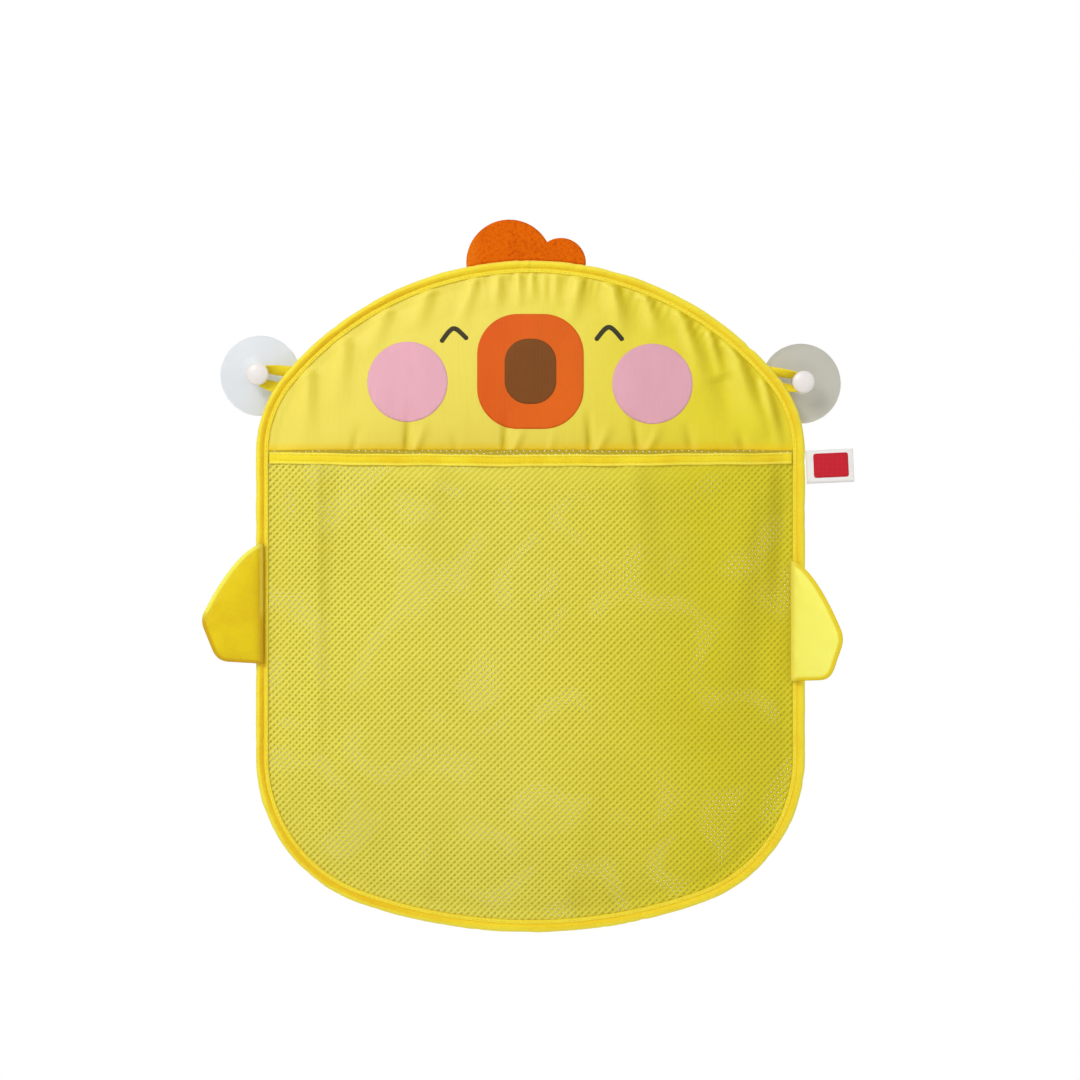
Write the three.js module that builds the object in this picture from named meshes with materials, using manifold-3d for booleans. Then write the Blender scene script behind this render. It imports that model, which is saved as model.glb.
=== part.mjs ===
// Bath toy organizer: a net pocket bag cut in the outline of a chick, hung on two suction cups.
// Millimetres, +Z up, front towards -Y, +X to the viewer's right.
// The origin lies on the wall plane, midway between the two suction cups.
import * as THREE from "three";
import { mergeVertices } from "three/addons/utils/BufferGeometryUtils.js";
import Module from "manifold-3d";

const wasm = await Module();
wasm.setup();

// General sizes
const clearance = 0.3; // between pieces that touch on the real bag
const overrun = 2; // how far a cutting tool passes the face it cuts
const chordError = 0.3; // how far a facet may leave a round edge
const bagDepth = 11; // from the wall to the middle plane of the bag

// Outline of the bag, in the plane of the wall
const bodyWidth = 347;
const bodyHeight = 424.5;
const bodyTop = 74.7; // height of the crown above the suction cups
const crownSpread = 29.9; // by which the crown's radius passes half the width
const shoulderRadius = 76;
const hipRadius = 97.5;
const bottomSpread = 154.5; // by which the bottom's radius passes half the width

// Edge binding: a tape folded over a wire hoop and over the edges of the panels
const bulbRadius = 3.2;
const bulbBore = 2.2;
const tapeWidth = 9.2; // from the outer edge to the stitched inner edge
const tapeThickness = 0.7;
const wireRadius = 1.1;
const wireGap = 0.8;
const ferruleLength = 10;
const ferruleRadius = 1.62;
const ferruleBore = 1.35;

// Panels that the binding clamps
const netThickness = 0.6;
const panelThickness = 0.9;
const layerOffset = 0.85; // from the middle plane to the middle of either layer
const panelInset = 5.8; // from the outer edge to the cut edge of a panel

// Net openings
const pocketPitch = 25;
const pocketStrand = 9;
const backPitch = 30;
const backStrand = 14;
const netMargin = 9; // closed strip left round the edge of a net

// Front pocket and its mouth
const mouthHeight = -46.2; // top edge of the mouth band, below the suction cups
const bandHeight = 7.4;
const bandWall = 0.5;
const bandTopWall = 0.7;
const netTuck = 3.2; // how much of the net the mouth band covers
const elasticHeight = 2.4;
const mouthSag = 2.6;
const pocketBulge = 22;
const pocketSlope = 112; // distance from the edge over which the pocket swells
const pocketRingShares = [0.84, 0.64, 0.4];
const mouthSteps = 18; // flat stretches along the bowed mouth

// Face panel
const hemHeight = -45.2;
const faceBulge = 6;
const faceSlope = 62;
const gatherDepth = 1.6;
const gatherPitch = 32;
const gatherReach = 19;
const faceRingShares = [0.72, 0.4];
const patchRingShares = [1, 0.62];

// Heat-pressed patches of the face
const patchThickness = 0.4;
const beakWidth = 67;
const beakHeight = 72.5;
const beakRound = 22;
const beakCentre = 4.1;
const mouthWidth = 32.4;
const mouthTall = 41;
const mouthRound = 12.5;
const cheekRadius = 25.3;
const cheekSide = 77.4;
const cheekCentre = -2.4;
const eyeSide = 48.9;
const eyeCentre = 28.6;
const eyeWidth = 15.6;
const eyeRise = 6.4;
const eyeStroke = 2.7;

// Comb of thick felt
const combThickness = 3;
const combGap = 0.5;
const bigLobeRadius = 27.2;
const bigLobeSide = -13.4;
const bigLobeDrop = 1.4; // centre below the crown
const smallLobeRadius = 15.8;
const smallLobeSide = 19.2;
const smallLobeDrop = 1.6;

// Wings: a sewn cover over a foam pad
const wingReach = 38.7;
const wingHeight = 76;
const wingThickness = 6;
const wingEdge = 1.6;
const leftWingInset = 5.6; // from the outer edge of the bag to the seam
const wingPadEdge = 0.8; // cavity thickness at the seams
const wingPad = 4.6; // cavity thickness in the middle
const leftWingTop = -104;
const rightWingTop = -115;
const leftWingTilt = THREE.MathUtils.degToRad(11);
const rightWingTilt = THREE.MathUtils.degToRad(41);

// Side label: a folded tape
const labelLength = 30;
const labelHeight = 21;
const labelTape = 0.5;
const labelFold = 1.6;
const labelCentre = -56;
const labelTilt = THREE.MathUtils.degToRad(2.5);

// Suction cups and their pins
const cupRadius = 25.5;
const cupReach = 14.5; // from the edge of the bag sideways to the middle of a cup
const cupStagger = 2.5; // how far one cup sits above, and the other below, the origin
const lipWidth = 3.2;
const lipThickness = 0.9;
const cupCavity = 2.1;
const cupFlare = 4.4; // height of the disc where it meets the hub
const hubRadius = 6.2;
const hubHeight = 7;
const socketRadius = 2.5;
const socketDepth = 3.6;
const neckRadius = 3.5;
const headRadius = 7;
const headRim = 2.6;
const headDome = 2.2;
const grooveHeight = 7.6;
const discBendShare = 0.4; // how far out from the hub the disc turns from its hub slope to its rim slope
const shoulderShare = 0.8; // of the dome's rise, reached halfway in from the head's rim

// Hanging loops of folded tape
const loopWidth = 6;
const loopThickness = 0.9;
const loopGap = 0.6;
const loopSpread = 14.5; // between the two sewn ends, along the edge

// Proportions of the wing outline, as shares of its reach and height
const wingTopShares = [[0.35, 0.02], [0.75, 0.34], [0.97, 0.57]];
const wingTipShares = [[1.03, 0.64], [0.96, 0.72]];
const wingHeelShares = [[0.83, 0.885], [0.76, 0.97], [0.58, 0.98]];
const wingPadShare = 0.9;
const wingMiddleShares = [0.45, 0.56];
const wingRingShares = [1, 0.72, 0.4];

const palette = {
  tape: { color: 0xf5d22d, roughness: 0.7 },
  net: { color: 0xdcd03c, roughness: 0.75 },
  cloth: { color: 0xf3df4d, roughness: 0.6 },
  wing: { color: 0xf2d91f, roughness: 0.65 },
  felt: { color: 0xe96508, roughness: 0.95 },
  beak: { color: 0xee6a2a, roughness: 0.6 },
  mouth: { color: 0x85502a, roughness: 0.6 },
  cheek: { color: 0xeeabc6, roughness: 0.6 },
  eye: { color: 0x35362b, roughness: 0.6 },
  label: { color: 0xf2efe9, roughness: 0.7 },
  cup: { color: 0xd3d6d6, roughness: 0.25 },
  pin: { color: 0xf4f2ef, roughness: 0.35 },
  wire: { color: 0xb8bcc0, roughness: 0.35, metalness: 0.9 },
  elastic: { color: 0xf6f4ee, roughness: 0.8 },
  foam: { color: 0xf4f1e4, roughness: 0.95 },
};

// Radii and centres of the arcs of the outline
const crownRadius = bodyWidth / 2 + crownSpread;
const bottomRadius = bodyWidth / 2 + bottomSpread;
const crownCentre = bodyTop - crownRadius;
const shoulderSide = bodyWidth / 2 - shoulderRadius;
const shoulderAngle = Math.acos(shoulderSide / (crownRadius - shoulderRadius));
const shoulderCentre = crownCentre + (crownRadius - shoulderRadius) * Math.sin(shoulderAngle);
const bottomCentre = bodyTop - bodyHeight + bottomRadius;
const hipSide = bodyWidth / 2 - hipRadius;
const hipAngle = Math.acos(hipSide / (bottomRadius - hipRadius));
const hipCentre = bottomCentre - (bottomRadius - hipRadius) * Math.sin(hipAngle);

// The point of the edge level with the cups, where the loops are sewn, and the direction outwards there
const loopLow = shoulderCentre + shoulderRadius * Math.sin(shoulderAngle) > 0;
const loopArc = loopLow ? [shoulderSide, shoulderCentre, shoulderRadius] : [0, crownCentre, crownRadius];
const loopRoot = Math.asin(-loopArc[1] / loopArc[2]);
const loopSide = loopArc[0] + loopArc[2] * Math.cos(loopRoot);
const cupSide = loopSide + cupReach;

// Points of an arc, with enough steps for the chord error of its full radius
function arcPoints(side, height, fullRadius, inset, from, to) {
  const step = 2 * Math.acos(1 - chordError / fullRadius);
  const steps = Math.max(2, Math.ceil((to - from) / step));
  const radius = fullRadius - inset;
  const points = [];
  for (let i = 0; i <= steps; i++) {
    const angle = from + ((to - from) * i) / steps;
    points.push(new THREE.Vector2(side + radius * Math.cos(angle), height + radius * Math.sin(angle)));
  }
  return points;
}

// The outline moved inwards, from the bottom middle anticlockwise round to the bottom middle.
// A seam gap leaves that much of the edge open at the bottom.
function outline(inset, seamGap = 0) {
  const bottom = -Math.PI / 2;
  const slip = seamGap / 2 / bottomRadius;
  const arcs = [
    arcPoints(0, bottomCentre, bottomRadius, inset, bottom + slip, -hipAngle),
    arcPoints(hipSide, hipCentre, hipRadius, inset, -hipAngle, 0),
    arcPoints(shoulderSide, shoulderCentre, shoulderRadius, inset, 0, shoulderAngle),
    arcPoints(0, crownCentre, crownRadius, inset, shoulderAngle, Math.PI - shoulderAngle),
    arcPoints(-shoulderSide, shoulderCentre, shoulderRadius, inset, Math.PI - shoulderAngle, Math.PI),
    arcPoints(-hipSide, hipCentre, hipRadius, inset, Math.PI, Math.PI + hipAngle),
    arcPoints(0, bottomCentre, bottomRadius, inset, Math.PI + hipAngle, Math.PI - bottom - slip),
  ];
  const joined = [];
  for (const arc of arcs) {
    const meets = joined.length > 0 && joined.at(-1).distanceTo(arc[0]) < chordError / 100;
    joined.push(...(meets ? arc.slice(1) : arc));
  }
  return joined;
}

// How deep a point lies inside a closed loop of points
function depthInside(loop, x, z) {
  let nearest = Infinity;
  let inside = false;
  loop.forEach((a, i) => {
    const b = loop[(i + 1) % loop.length];
    const dx = b.x - a.x;
    const dz = b.y - a.y;
    const along = THREE.MathUtils.clamp(((x - a.x) * dx + (z - a.y) * dz) / (dx * dx + dz * dz || 1), 0, 1);
    nearest = Math.min(nearest, Math.hypot(x - a.x - along * dx, z - a.y - along * dz));
    if (a.y > z !== b.y > z && x < a.x + (dx * (z - a.y)) / dz) {
      inside = !inside;
    }
  });
  return inside ? nearest : -nearest;
}

// Evenly spaced points along a line of points, both ends among them
function spaced(points, steps) {
  const path = new THREE.CurvePath();
  for (let i = 0; i + 1 < points.length; i++) {
    path.add(new THREE.LineCurve(points[i], points[i + 1]));
  }
  return path.getSpacedPoints(steps);
}

// A geometry from vertices and triangles
function solidOf(vertices, triangles) {
  const geometry = new THREE.BufferGeometry();
  geometry.setAttribute("position", new THREE.Float32BufferAttribute(vertices.flat(), 3));
  geometry.setIndex(triangles.flat());
  return geometry;
}

// Triangles of a band of quads between two loops of vertices that start at the given indices
function bridge(first, second, count, closed) {
  const triangles = [];
  const last = closed ? count : count - 1;
  for (let i = 0; i < last; i++) {
    const next = (i + 1) % count;
    triangles.push([first + i, first + next, second + next]);
    triangles.push([first + i, second + next, second + i]);
  }
  return triangles;
}

// A section carried along stations: each row holds the places of the section's points at one station
function sweep(rows, section, closed) {
  const width = section.length;
  const triangles = [];
  rows.slice(closed ? 0 : 1).forEach((_, i) => {
    triangles.push(...bridge(((i + 1) % rows.length) * width, i * width, width, true));
  });
  if (!closed) {
    const corners = section.map(([a, b]) => new THREE.Vector2(a, b));
    const turned = THREE.ShapeUtils.isClockWise(corners);
    const end = (rows.length - 1) * width;
    for (const [a, b, c] of THREE.ShapeUtils.triangulateShape(corners, [])) {
      triangles.push(turned ? [a, c, b] : [a, b, c]);
      triangles.push(turned ? [end + a, end + b, end + c] : [end + a, end + c, end + b]);
    }
  }
  return solidOf(rows.flat(), triangles);
}

// A section of [inset, depth] points carried round the outline, open by a seam gap at the bottom
function sweepOutline(section, seamGap = 0) {
  const closed = seamGap === 0;
  const lines = section.map(([inset]) => outline(inset, seamGap));
  const stations = lines[0].slice(closed ? 1 : 0);
  const corner = (i) => ([, depth], k) => [lines[k][i].x, depth, lines[k][i].y];
  const rows = stations.map((_, i) => section.map(corner(i)));
  return sweep(rows, section, closed);
}

// Points round a circle in a section, anticlockwise from one angle to another
function sectionArc(centre, radius, from, to, steps) {
  const points = [];
  for (let i = 0; i <= steps; i++) {
    const angle = from + ((to - from) * i) / steps;
    points.push([centre + radius * Math.cos(angle), radius * Math.sin(angle)]);
  }
  return points;
}

// A flat plate of a shape in the wall plane, from a back face forwards
function plate(shape, thickness, back, curveSegments = 16) {
  const settings = { depth: thickness, bevelEnabled: false, curveSegments };
  const geometry = new THREE.ExtrudeGeometry(shape, settings);
  geometry.rotateX(Math.PI / 2);
  geometry.translate(0, back, 0);
  return geometry;
}

// Moves each vertex forwards by what the given function says for its place in the wall plane
function moveForward(geometry, amount) {
  const positions = geometry.getAttribute("position");
  for (let i = 0; i < positions.count; i++) {
    positions.setY(i, positions.getY(i) - amount(positions.getX(i), positions.getZ(i)));
  }
  return geometry;
}

// Moves each vertex down by what the given function says for its place
function lower(geometry, amount) {
  const positions = geometry.getAttribute("position");
  for (let i = 0; i < positions.count; i++) {
    positions.setZ(i, positions.getZ(i) - amount(positions.getX(i), positions.getZ(i)));
  }
  return geometry;
}

// A loop drawn towards a middle point once for each share
function nested(loop, middle, shares) {
  return shares.map((share) => ({ share, points: loop.map((p) => middle.clone().lerp(p, share)) }));
}

// A closed sheet over nested rings of points, outermost first, that meet in a middle point.
// Its two faces are given as functions of the place and of the ring's share, 1 at the edge.
function ringSheet(rings, middle, front, back) {
  const count = rings[0].points.length;
  const side = rings.length * count + 1;
  const vertices = [];
  for (const face of [front, back]) {
    for (const { share, points } of rings) {
      points.forEach((p) => vertices.push([p.x, face(p.x, p.y, share), p.y]));
    }
    vertices.push([middle.x, face(middle.x, middle.y, 0), middle.y]);
  }
  const frontSide = [];
  for (let r = 0; r + 1 < rings.length; r++) {
    frontSide.push(...bridge(r * count, (r + 1) * count, count, true));
  }
  const innermost = (rings.length - 1) * count;
  for (let i = 0; i < count; i++) {
    frontSide.push([innermost + i, innermost + ((i + 1) % count), side - 1]);
  }
  const backSide = frontSide.map(([a, b, c]) => [side + a, side + c, side + b]);
  return solidOf(vertices, [...frontSide, ...backSide, ...bridge(side, 0, count, true)]);
}

// Solids for cutting and joining
function toManifold(geometry) {
  const bare = geometry.clone();
  bare.deleteAttribute("normal");
  bare.deleteAttribute("uv");
  const merged = mergeVertices(bare, chordError / 1000);
  return new wasm.Manifold(
    new wasm.Mesh({
      numProp: 3,
      vertProperties: new Float32Array(merged.getAttribute("position").array),
      triVerts: new Uint32Array(merged.index.array),
    }),
  );
}

function fromManifold(solid) {
  const mesh = solid.getMesh();
  const geometry = new THREE.BufferGeometry();
  geometry.setAttribute("position", new THREE.BufferAttribute(mesh.vertProperties, 3));
  geometry.setIndex(new THREE.BufferAttribute(mesh.triVerts, 1));
  return geometry;
}

// The object
const organizer = new THREE.Group();

function piece(name, geometry, finish, parent = organizer) {
  const mesh = new THREE.Mesh(geometry, new THREE.MeshStandardMaterial(palette[finish]));
  mesh.name = name;
  parent.add(mesh);
  return mesh;
}

// Depths of the layers, seen from the wall: more negative lies further forward
const middlePlane = -bagDepth;
const slotHalf = layerOffset + panelThickness / 2 + clearance;
const tapeHalf = slotHalf + tapeThickness;
const heldWidth = tapeWidth + clearance - panelInset; // of the strip of a panel that lies flat in the binding

function makeBinding() {
  const outerTurn = Math.asin(tapeHalf / bulbRadius);
  const innerTurn = Math.asin(slotHalf / bulbBore);
  const bulb = sectionArc(bulbRadius, bulbRadius, outerTurn, 2 * Math.PI - outerTurn, 6);
  const bore = sectionArc(bulbRadius, bulbBore, innerTurn, 2 * Math.PI - innerTurn, 4);
  const section = [
    [tapeWidth, tapeHalf],
    ...bulb,
    [tapeWidth, -tapeHalf],
    [tapeWidth, -slotHalf],
    ...bore.reverse(),
    [tapeWidth, slotHalf],
  ];
  const geometry = sweepOutline(section);
  geometry.translate(0, middlePlane, 0);
  piece("rim_binding", geometry, "tape");
}

function makeHoop() {
  const wire = sweepOutline(sectionArc(bulbRadius, wireRadius, 0, 1.6 * Math.PI, 4), wireGap);
  wire.translate(0, middlePlane, 0);
  piece("rim_wire", wire, "wire");

  const tube = [
    [ferruleBore, -ferruleLength / 2],
    [ferruleRadius, -ferruleLength / 2],
    [ferruleRadius, ferruleLength / 2],
    [ferruleBore, ferruleLength / 2],
    [ferruleBore, -ferruleLength / 2],
  ];
  const ferrule = new THREE.LatheGeometry(tube.map(([r, y]) => new THREE.Vector2(r, y)), 12);
  ferrule.rotateZ(-Math.PI / 2);
  ferrule.translate(0, middlePlane, bodyTop - bodyHeight + bulbRadius);
  piece("rim_wire_ferrule", ferrule, "wire");
}

// Points along a straight panel edge from one side to the other, short of its corners. The first and
// last lie where the binding lets go of the panel, the rest evenly over the width that swells.
function edgeStations(corner, height) {
  const end = Math.min(Math.abs(corner) - heldWidth, bodyWidth / 2 - tapeWidth - clearance - heldWidth);
  const from = Math.sign(corner) * end;
  const at = (x) => new THREE.Vector2(x, height);
  const even = spaced([at(from), at(-from)], mouthSteps);
  const first = (corner + from) / 2;
  return [at(first), ...even, at(-first)];
}

// The part of the outline above or below a height, closed by a straight edge there, anticlockwise.
// Each inset gives the same number of points.
function panelLoop(inset, height, above, curveSteps) {
  const loop = outline(inset).slice(0, -1);
  const kept = [];
  let start = 0;
  loop.forEach((a, i) => {
    const b = loop[(i + 1) % loop.length];
    if (a.y > height === above) {
      kept.push(a);
    }
    if (a.y > height !== b.y > height) {
      start = a.y > height === above ? start : kept.length;
      kept.push(a.clone().lerp(b, (height - a.y) / (b.y - a.y)));
    }
  });
  const curve = spaced([...kept.slice(start), ...kept.slice(0, start)], curveSteps);
  return [...curve, ...edgeStations(curve.at(-1).x, height)];
}

// The rings of a panel: one for each step in from its cut edge, and those nested inside the last
function panelRings(height, above, steps, curveSteps, middle, shares) {
  const rings = steps.map((step) => {
    const level = height + (above ? step : -step);
    return { share: 1, points: panelLoop(panelInset + step, level, above, curveSteps) };
  });
  return [...rings, ...nested(rings.at(-1).points, middle, shares)];
}

// Cuts a diamond opening into a sheet wherever one fits inside the margin of its edge
function cutNet(sheet, edge, pitch, strand, back, depth) {
  const reach = (pitch - strand) / Math.SQRT2;
  const cell = pitch / Math.SQRT2;
  const middle = bodyTop - bodyHeight / 2;
  const columns = Math.ceil(bodyWidth / 2 / cell);
  const rows = Math.ceil(bodyHeight / 2 / cell);
  const openings = [];
  for (let i = -columns; i <= columns; i++) {
    for (let j = -rows; j <= rows; j++) {
      const x = i * cell;
      const z = middle + j * cell;
      const corners = [[x - reach, z], [x, z - reach], [x + reach, z], [x, z + reach]];
      if ((i + j) % 2 === 0 && corners.every(([a, b]) => depthInside(edge, a, b) > netMargin)) {
        openings.push(new THREE.Shape(corners.map(([a, b]) => new THREE.Vector2(a, b))));
      }
    }
  }
  const cut = plate(openings, depth + 2 * overrun, back + overrun);
  return fromManifold(toManifold(sheet).subtract(toManifold(cut)));
}

function makeBackNet() {
  const edge = outline(panelInset).slice(0, -1);
  const back = middlePlane + layerOffset + netThickness / 2;
  const sheet = plate(new THREE.Shape(edge), netThickness, back);
  piece("back_net", cutNet(sheet, edge, backPitch, backStrand, back, netThickness), "net");
}

// The edge from which the panels swell forward, a little inside the binding
const swellEdge = outline(tapeWidth + clearance + heldWidth).slice(0, -1);

function swell(x, z, slope) {
  const share = THREE.MathUtils.clamp(depthInside(swellEdge, x, z) / slope, 0, 1);
  return 1 - (1 - share) ** 2;
}

// How far the pocket stands forward: level over the height of its mouth band, then less to the edge
function pocketForward(x, z) {
  return pocketBulge * swell(x, Math.min(z, mouthHeight - bandHeight - overrun), pocketSlope);
}

// How far the pocket hangs below its flat cut: most in the middle of its mouth
function pocketDrop(x, z) {
  const across = 1 - ((2 * x) / bodyWidth) ** 2;
  const below = THREE.MathUtils.clamp(1 - (mouthHeight - z) / pocketSlope, 0, 1);
  return mouthSag * Math.max(0, across) * below;
}

function makePocket() {
  const netTop = mouthHeight - bandHeight + netTuck;
  const netBack = middlePlane - layerOffset + netThickness / 2;
  const middle = new THREE.Vector2(0, (netTop + bodyTop - bodyHeight) / 2);
  const steps = [0, heldWidth];
  const rings = panelRings(netTop, false, steps, 36, middle, pocketRingShares);
  const face = (back) => (x, z) => back - pocketForward(x, z);
  const sheet = ringSheet(rings, middle, face(netBack - netThickness), face(netBack));
  const reach = pocketBulge + netThickness;
  const net = cutNet(sheet, rings[0].points, pocketPitch, pocketStrand, netBack, reach);
  piece("pocket_net", lower(net, pocketDrop), "net");

  const slot = netThickness / 2 + clearance;
  const band = slot + bandWall;
  const bottom = mouthHeight - bandHeight;
  const inner = mouthHeight - bandTopWall;
  const channel = [
    [-band, bottom],
    [-slot, bottom],
    [-slot, inner],
    [slot, inner],
    [slot, bottom],
    [band, bottom],
    [band, mouthHeight],
    [-band, mouthHeight],
  ];
  piece("pocket_band", alongMouth(channel), "tape");

  const strap = netThickness / 2;
  const top = inner - clearance;
  const low = top - elasticHeight;
  const elastic = [[-strap, low], [strap, low], [strap, top], [-strap, top]];
  piece("pocket_elastic", alongMouth(elastic), "elastic");
}

// A section of [depth, height] points carried along the mouth. Near its ends it lies flat, and it has
// the same stations as the edge of the net.
function alongMouth(section) {
  const stations = edgeStations(bodyWidth / 2 - panelInset, mouthHeight);
  const rows = stations.map(({ x }) => {
    const forward = middlePlane - layerOffset - pocketForward(x, mouthHeight);
    const drop = pocketDrop(x, mouthHeight);
    return section.map(([depth, height]) => [x, forward + depth, height - drop]);
  });
  return sweep(rows, section, false);
}

// How far the face panel stands forward: a low crown, with gathers below the binding
function faceForward(x, z) {
  const depth = depthInside(swellEdge, x, z) + heldWidth;
  const inGather = THREE.MathUtils.clamp(depth / gatherReach, 0, 1);
  const turn = Math.atan2(x, z - crownCentre);
  const fold = (1 + Math.cos((2 * Math.PI * turn * crownRadius) / gatherPitch)) / 2;
  return faceBulge * swell(x, z, faceSlope) + gatherDepth * fold * 4 * inGather * (1 - inGather);
}

function makeFacePanel() {
  const middle = new THREE.Vector2(0, (bodyTop + hemHeight) / 2);
  const steps = [0, heldWidth, heldWidth + gatherReach / 2, heldWidth + gatherReach];
  const rings = panelRings(hemHeight, true, steps, 44, middle, faceRingShares);
  const front = middlePlane - layerOffset - panelThickness / 2;
  const face = (forward) => (x, z) => forward - faceForward(x, z);
  piece("face_panel", ringSheet(rings, middle, face(front), face(front + panelThickness)), "cloth");
}

// A thin patch that follows the face panel, in a layer counted from the panel outwards
function patch(name, loop, middle, shares, layer, finish) {
  const panelFront = middlePlane - layerOffset - panelThickness / 2;
  const back = panelFront - clearance - layer * (patchThickness + clearance);
  const face = (forward) => (x, z) => forward - faceForward(x, z);
  const rings = nested(loop, middle, shares);
  piece(name, ringSheet(rings, middle, face(back - patchThickness), face(back)), finish);
}

function roundedRectangle(width, height, radius, centre) {
  const path = new THREE.Path();
  const x = width / 2 - radius;
  const z = height / 2 - radius;
  path.absarc(x, centre + z, radius, 0, Math.PI / 2);
  path.absarc(-x, centre + z, radius, Math.PI / 2, Math.PI);
  path.absarc(-x, centre - z, radius, Math.PI, 1.5 * Math.PI);
  path.absarc(x, centre - z, radius, 1.5 * Math.PI, 2 * Math.PI);
  path.closePath();
  return path.getSpacedPoints(36).slice(0, -1);
}

function makeFacePatches() {
  const beak = roundedRectangle(beakWidth, beakHeight, beakRound, beakCentre);
  patch("beak_patch", beak, new THREE.Vector2(0, beakCentre), patchRingShares, 0, "beak");
  const mouth = roundedRectangle(mouthWidth, mouthTall, mouthRound, beakCentre);
  patch("mouth_patch", mouth, new THREE.Vector2(0, beakCentre), patchRingShares, 1, "mouth");
  for (const [side, direction] of [["left", -1], ["right", 1]]) {
    const middle = new THREE.Vector2(direction * cheekSide, cheekCentre);
    const circle = new THREE.Path().absarc(middle.x, middle.y, cheekRadius, 0, 2 * Math.PI);
    const round = circle.getSpacedPoints(28).slice(0, -1);
    patch(side + "_cheek_patch", round, middle, patchRingShares, 0, "cheek");
    makeEye(side + "_eye_patch", direction * eyeSide);
  }
}

// A closed, smiling eye: one rounded stroke bent over its middle
function makeEye(name, side) {
  const bend = new THREE.QuadraticBezierCurve(
    new THREE.Vector2(side - eyeWidth / 2, eyeCentre - eyeRise / 2),
    new THREE.Vector2(side, eyeCentre + 1.5 * eyeRise),
    new THREE.Vector2(side + eyeWidth / 2, eyeCentre - eyeRise / 2),
  );
  const steps = 10;
  const upper = [];
  const lower = [];
  for (let i = 0; i <= steps; i++) {
    const at = bend.getPoint(i / steps);
    const along = bend.getTangent(i / steps);
    const across = new THREE.Vector2(-along.y, along.x).multiplyScalar(eyeStroke / 2);
    upper.push(at.clone().add(across));
    lower.push(at.clone().sub(across));
  }
  const back = middlePlane - layerOffset - panelThickness / 2 - clearance;
  const stroke = plate(new THREE.Shape([...lower, ...upper.reverse()]), patchThickness, back);
  piece(name, moveForward(stroke, faceForward), "eye");
}

function makeComb() {
  const base = crownRadius + combGap;
  const circle = (side, drop, radius) => ({ x: side, z: bodyTop - drop, r: radius });
  const big = circle(bigLobeSide, bigLobeDrop, bigLobeRadius);
  const small = circle(smallLobeSide, smallLobeDrop, smallLobeRadius);
  const lobe = (c) => {
    const disc = new THREE.Shape();
    disc.absarc(c.x, c.z, c.r, 0, 2 * Math.PI);
    return toManifold(plate(disc, combThickness, combThickness / 2, 20));
  };
  const under = new THREE.Shape();
  under.absarc(0, crownCentre, base, 0, 2 * Math.PI);
  const cut = toManifold(plate(under, combThickness + 2 * overrun, combThickness / 2 + overrun, 90));
  const geometry = fromManifold(lobe(big).add(lobe(small)).subtract(cut));
  geometry.translate(0, middlePlane, 0);
  piece("comb", geometry, "felt");
}

// Outline of a wing in its own plane: x outwards from the seam, y up from its top corner
function wingLoop() {
  const at = ([out, down]) => [out * wingReach, -down * wingHeight];
  const shape = new THREE.Path();
  shape.moveTo(0, 0);
  shape.bezierCurveTo(...wingTopShares.flatMap(at));
  shape.quadraticCurveTo(...wingTipShares.flatMap(at));
  shape.lineTo(...at(wingHeelShares[0]));
  shape.quadraticCurveTo(...wingHeelShares.slice(1).flatMap(at));
  shape.lineTo(0, -wingHeight);
  shape.lineTo(0, 0);
  return spaced(shape.getPoints(6), 28).slice(0, -1).reverse();
}

// A pad over a loop: thin at the seams and thick in the middle
function pad(loop, middle, edge, full) {
  const half = (share) => edge / 2 + ((full - edge) / 2) * (1 - share * share);
  const rings = nested(loop, middle, wingRingShares);
  return ringSheet(rings, middle, (x, z, share) => -half(share), (x, z, share) => half(share));
}

// A wing sewn at an inset from the edge, onto a part of the binding that stands that far forward
function makeWing(side, direction, top, tilt, inset, rest) {
  const wing = new THREE.Group();
  const depth = middlePlane - rest - clearance - wingEdge / 2;
  wing.position.set(direction * (bodyWidth / 2 - inset), depth, top);
  wing.rotation.z = direction > 0 ? -tilt : Math.PI + tilt;
  organizer.add(wing);

  const loop = wingLoop();
  const [middleOut, middleDown] = wingMiddleShares;
  const middle = new THREE.Vector2(middleOut * wingReach, -middleDown * wingHeight);
  const inward = (root, trim) =>
    loop.map((p) => {
      const shrunk = middle.clone().lerp(p, wingPadShare);
      const pull = shrunk.clone().sub(middle).setLength(trim);
      return p.x < clearance ? new THREE.Vector2(root, shrunk.y - 2 * pull.y) : shrunk.sub(pull);
    });
  const cavity = pad(inward(-overrun, 0), middle, wingPadEdge, wingPad);
  const cover = toManifold(pad(loop, middle, wingEdge, wingThickness)).subtract(toManifold(cavity));
  piece(side + "_wing_cover", fromManifold(cover), "wing", wing);

  const slack = 2 * clearance;
  const foam = pad(inward(clearance, clearance), middle, wingPadEdge - slack, wingPad - slack);
  piece(side + "_wing_foam", foam, "foam", wing);
}

function makeLabel() {
  const half = labelFold / 2;
  const inner = half - labelTape;
  const end = labelLength;
  const profile = [
    [0, -half],
    [end, -half],
    [end, half],
    [0, half],
    [0, inner],
    [end - labelTape, inner],
    [end - labelTape, -inner],
    [0, -inner],
  ];
  const shape = new THREE.Shape(profile.map(([x, y]) => new THREE.Vector2(x, y)));
  const geometry = new THREE.ExtrudeGeometry(shape, { depth: labelHeight, bevelEnabled: false });
  geometry.translate(0, 0, -labelHeight / 2);
  const label = piece("side_label", geometry, "label");
  const lean = (Math.sin(labelTilt) * labelHeight) / 2;
  label.position.set(bodyWidth / 2 + clearance + lean, middlePlane, labelCentre);
  label.rotation.y = -labelTilt;
}

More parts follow.
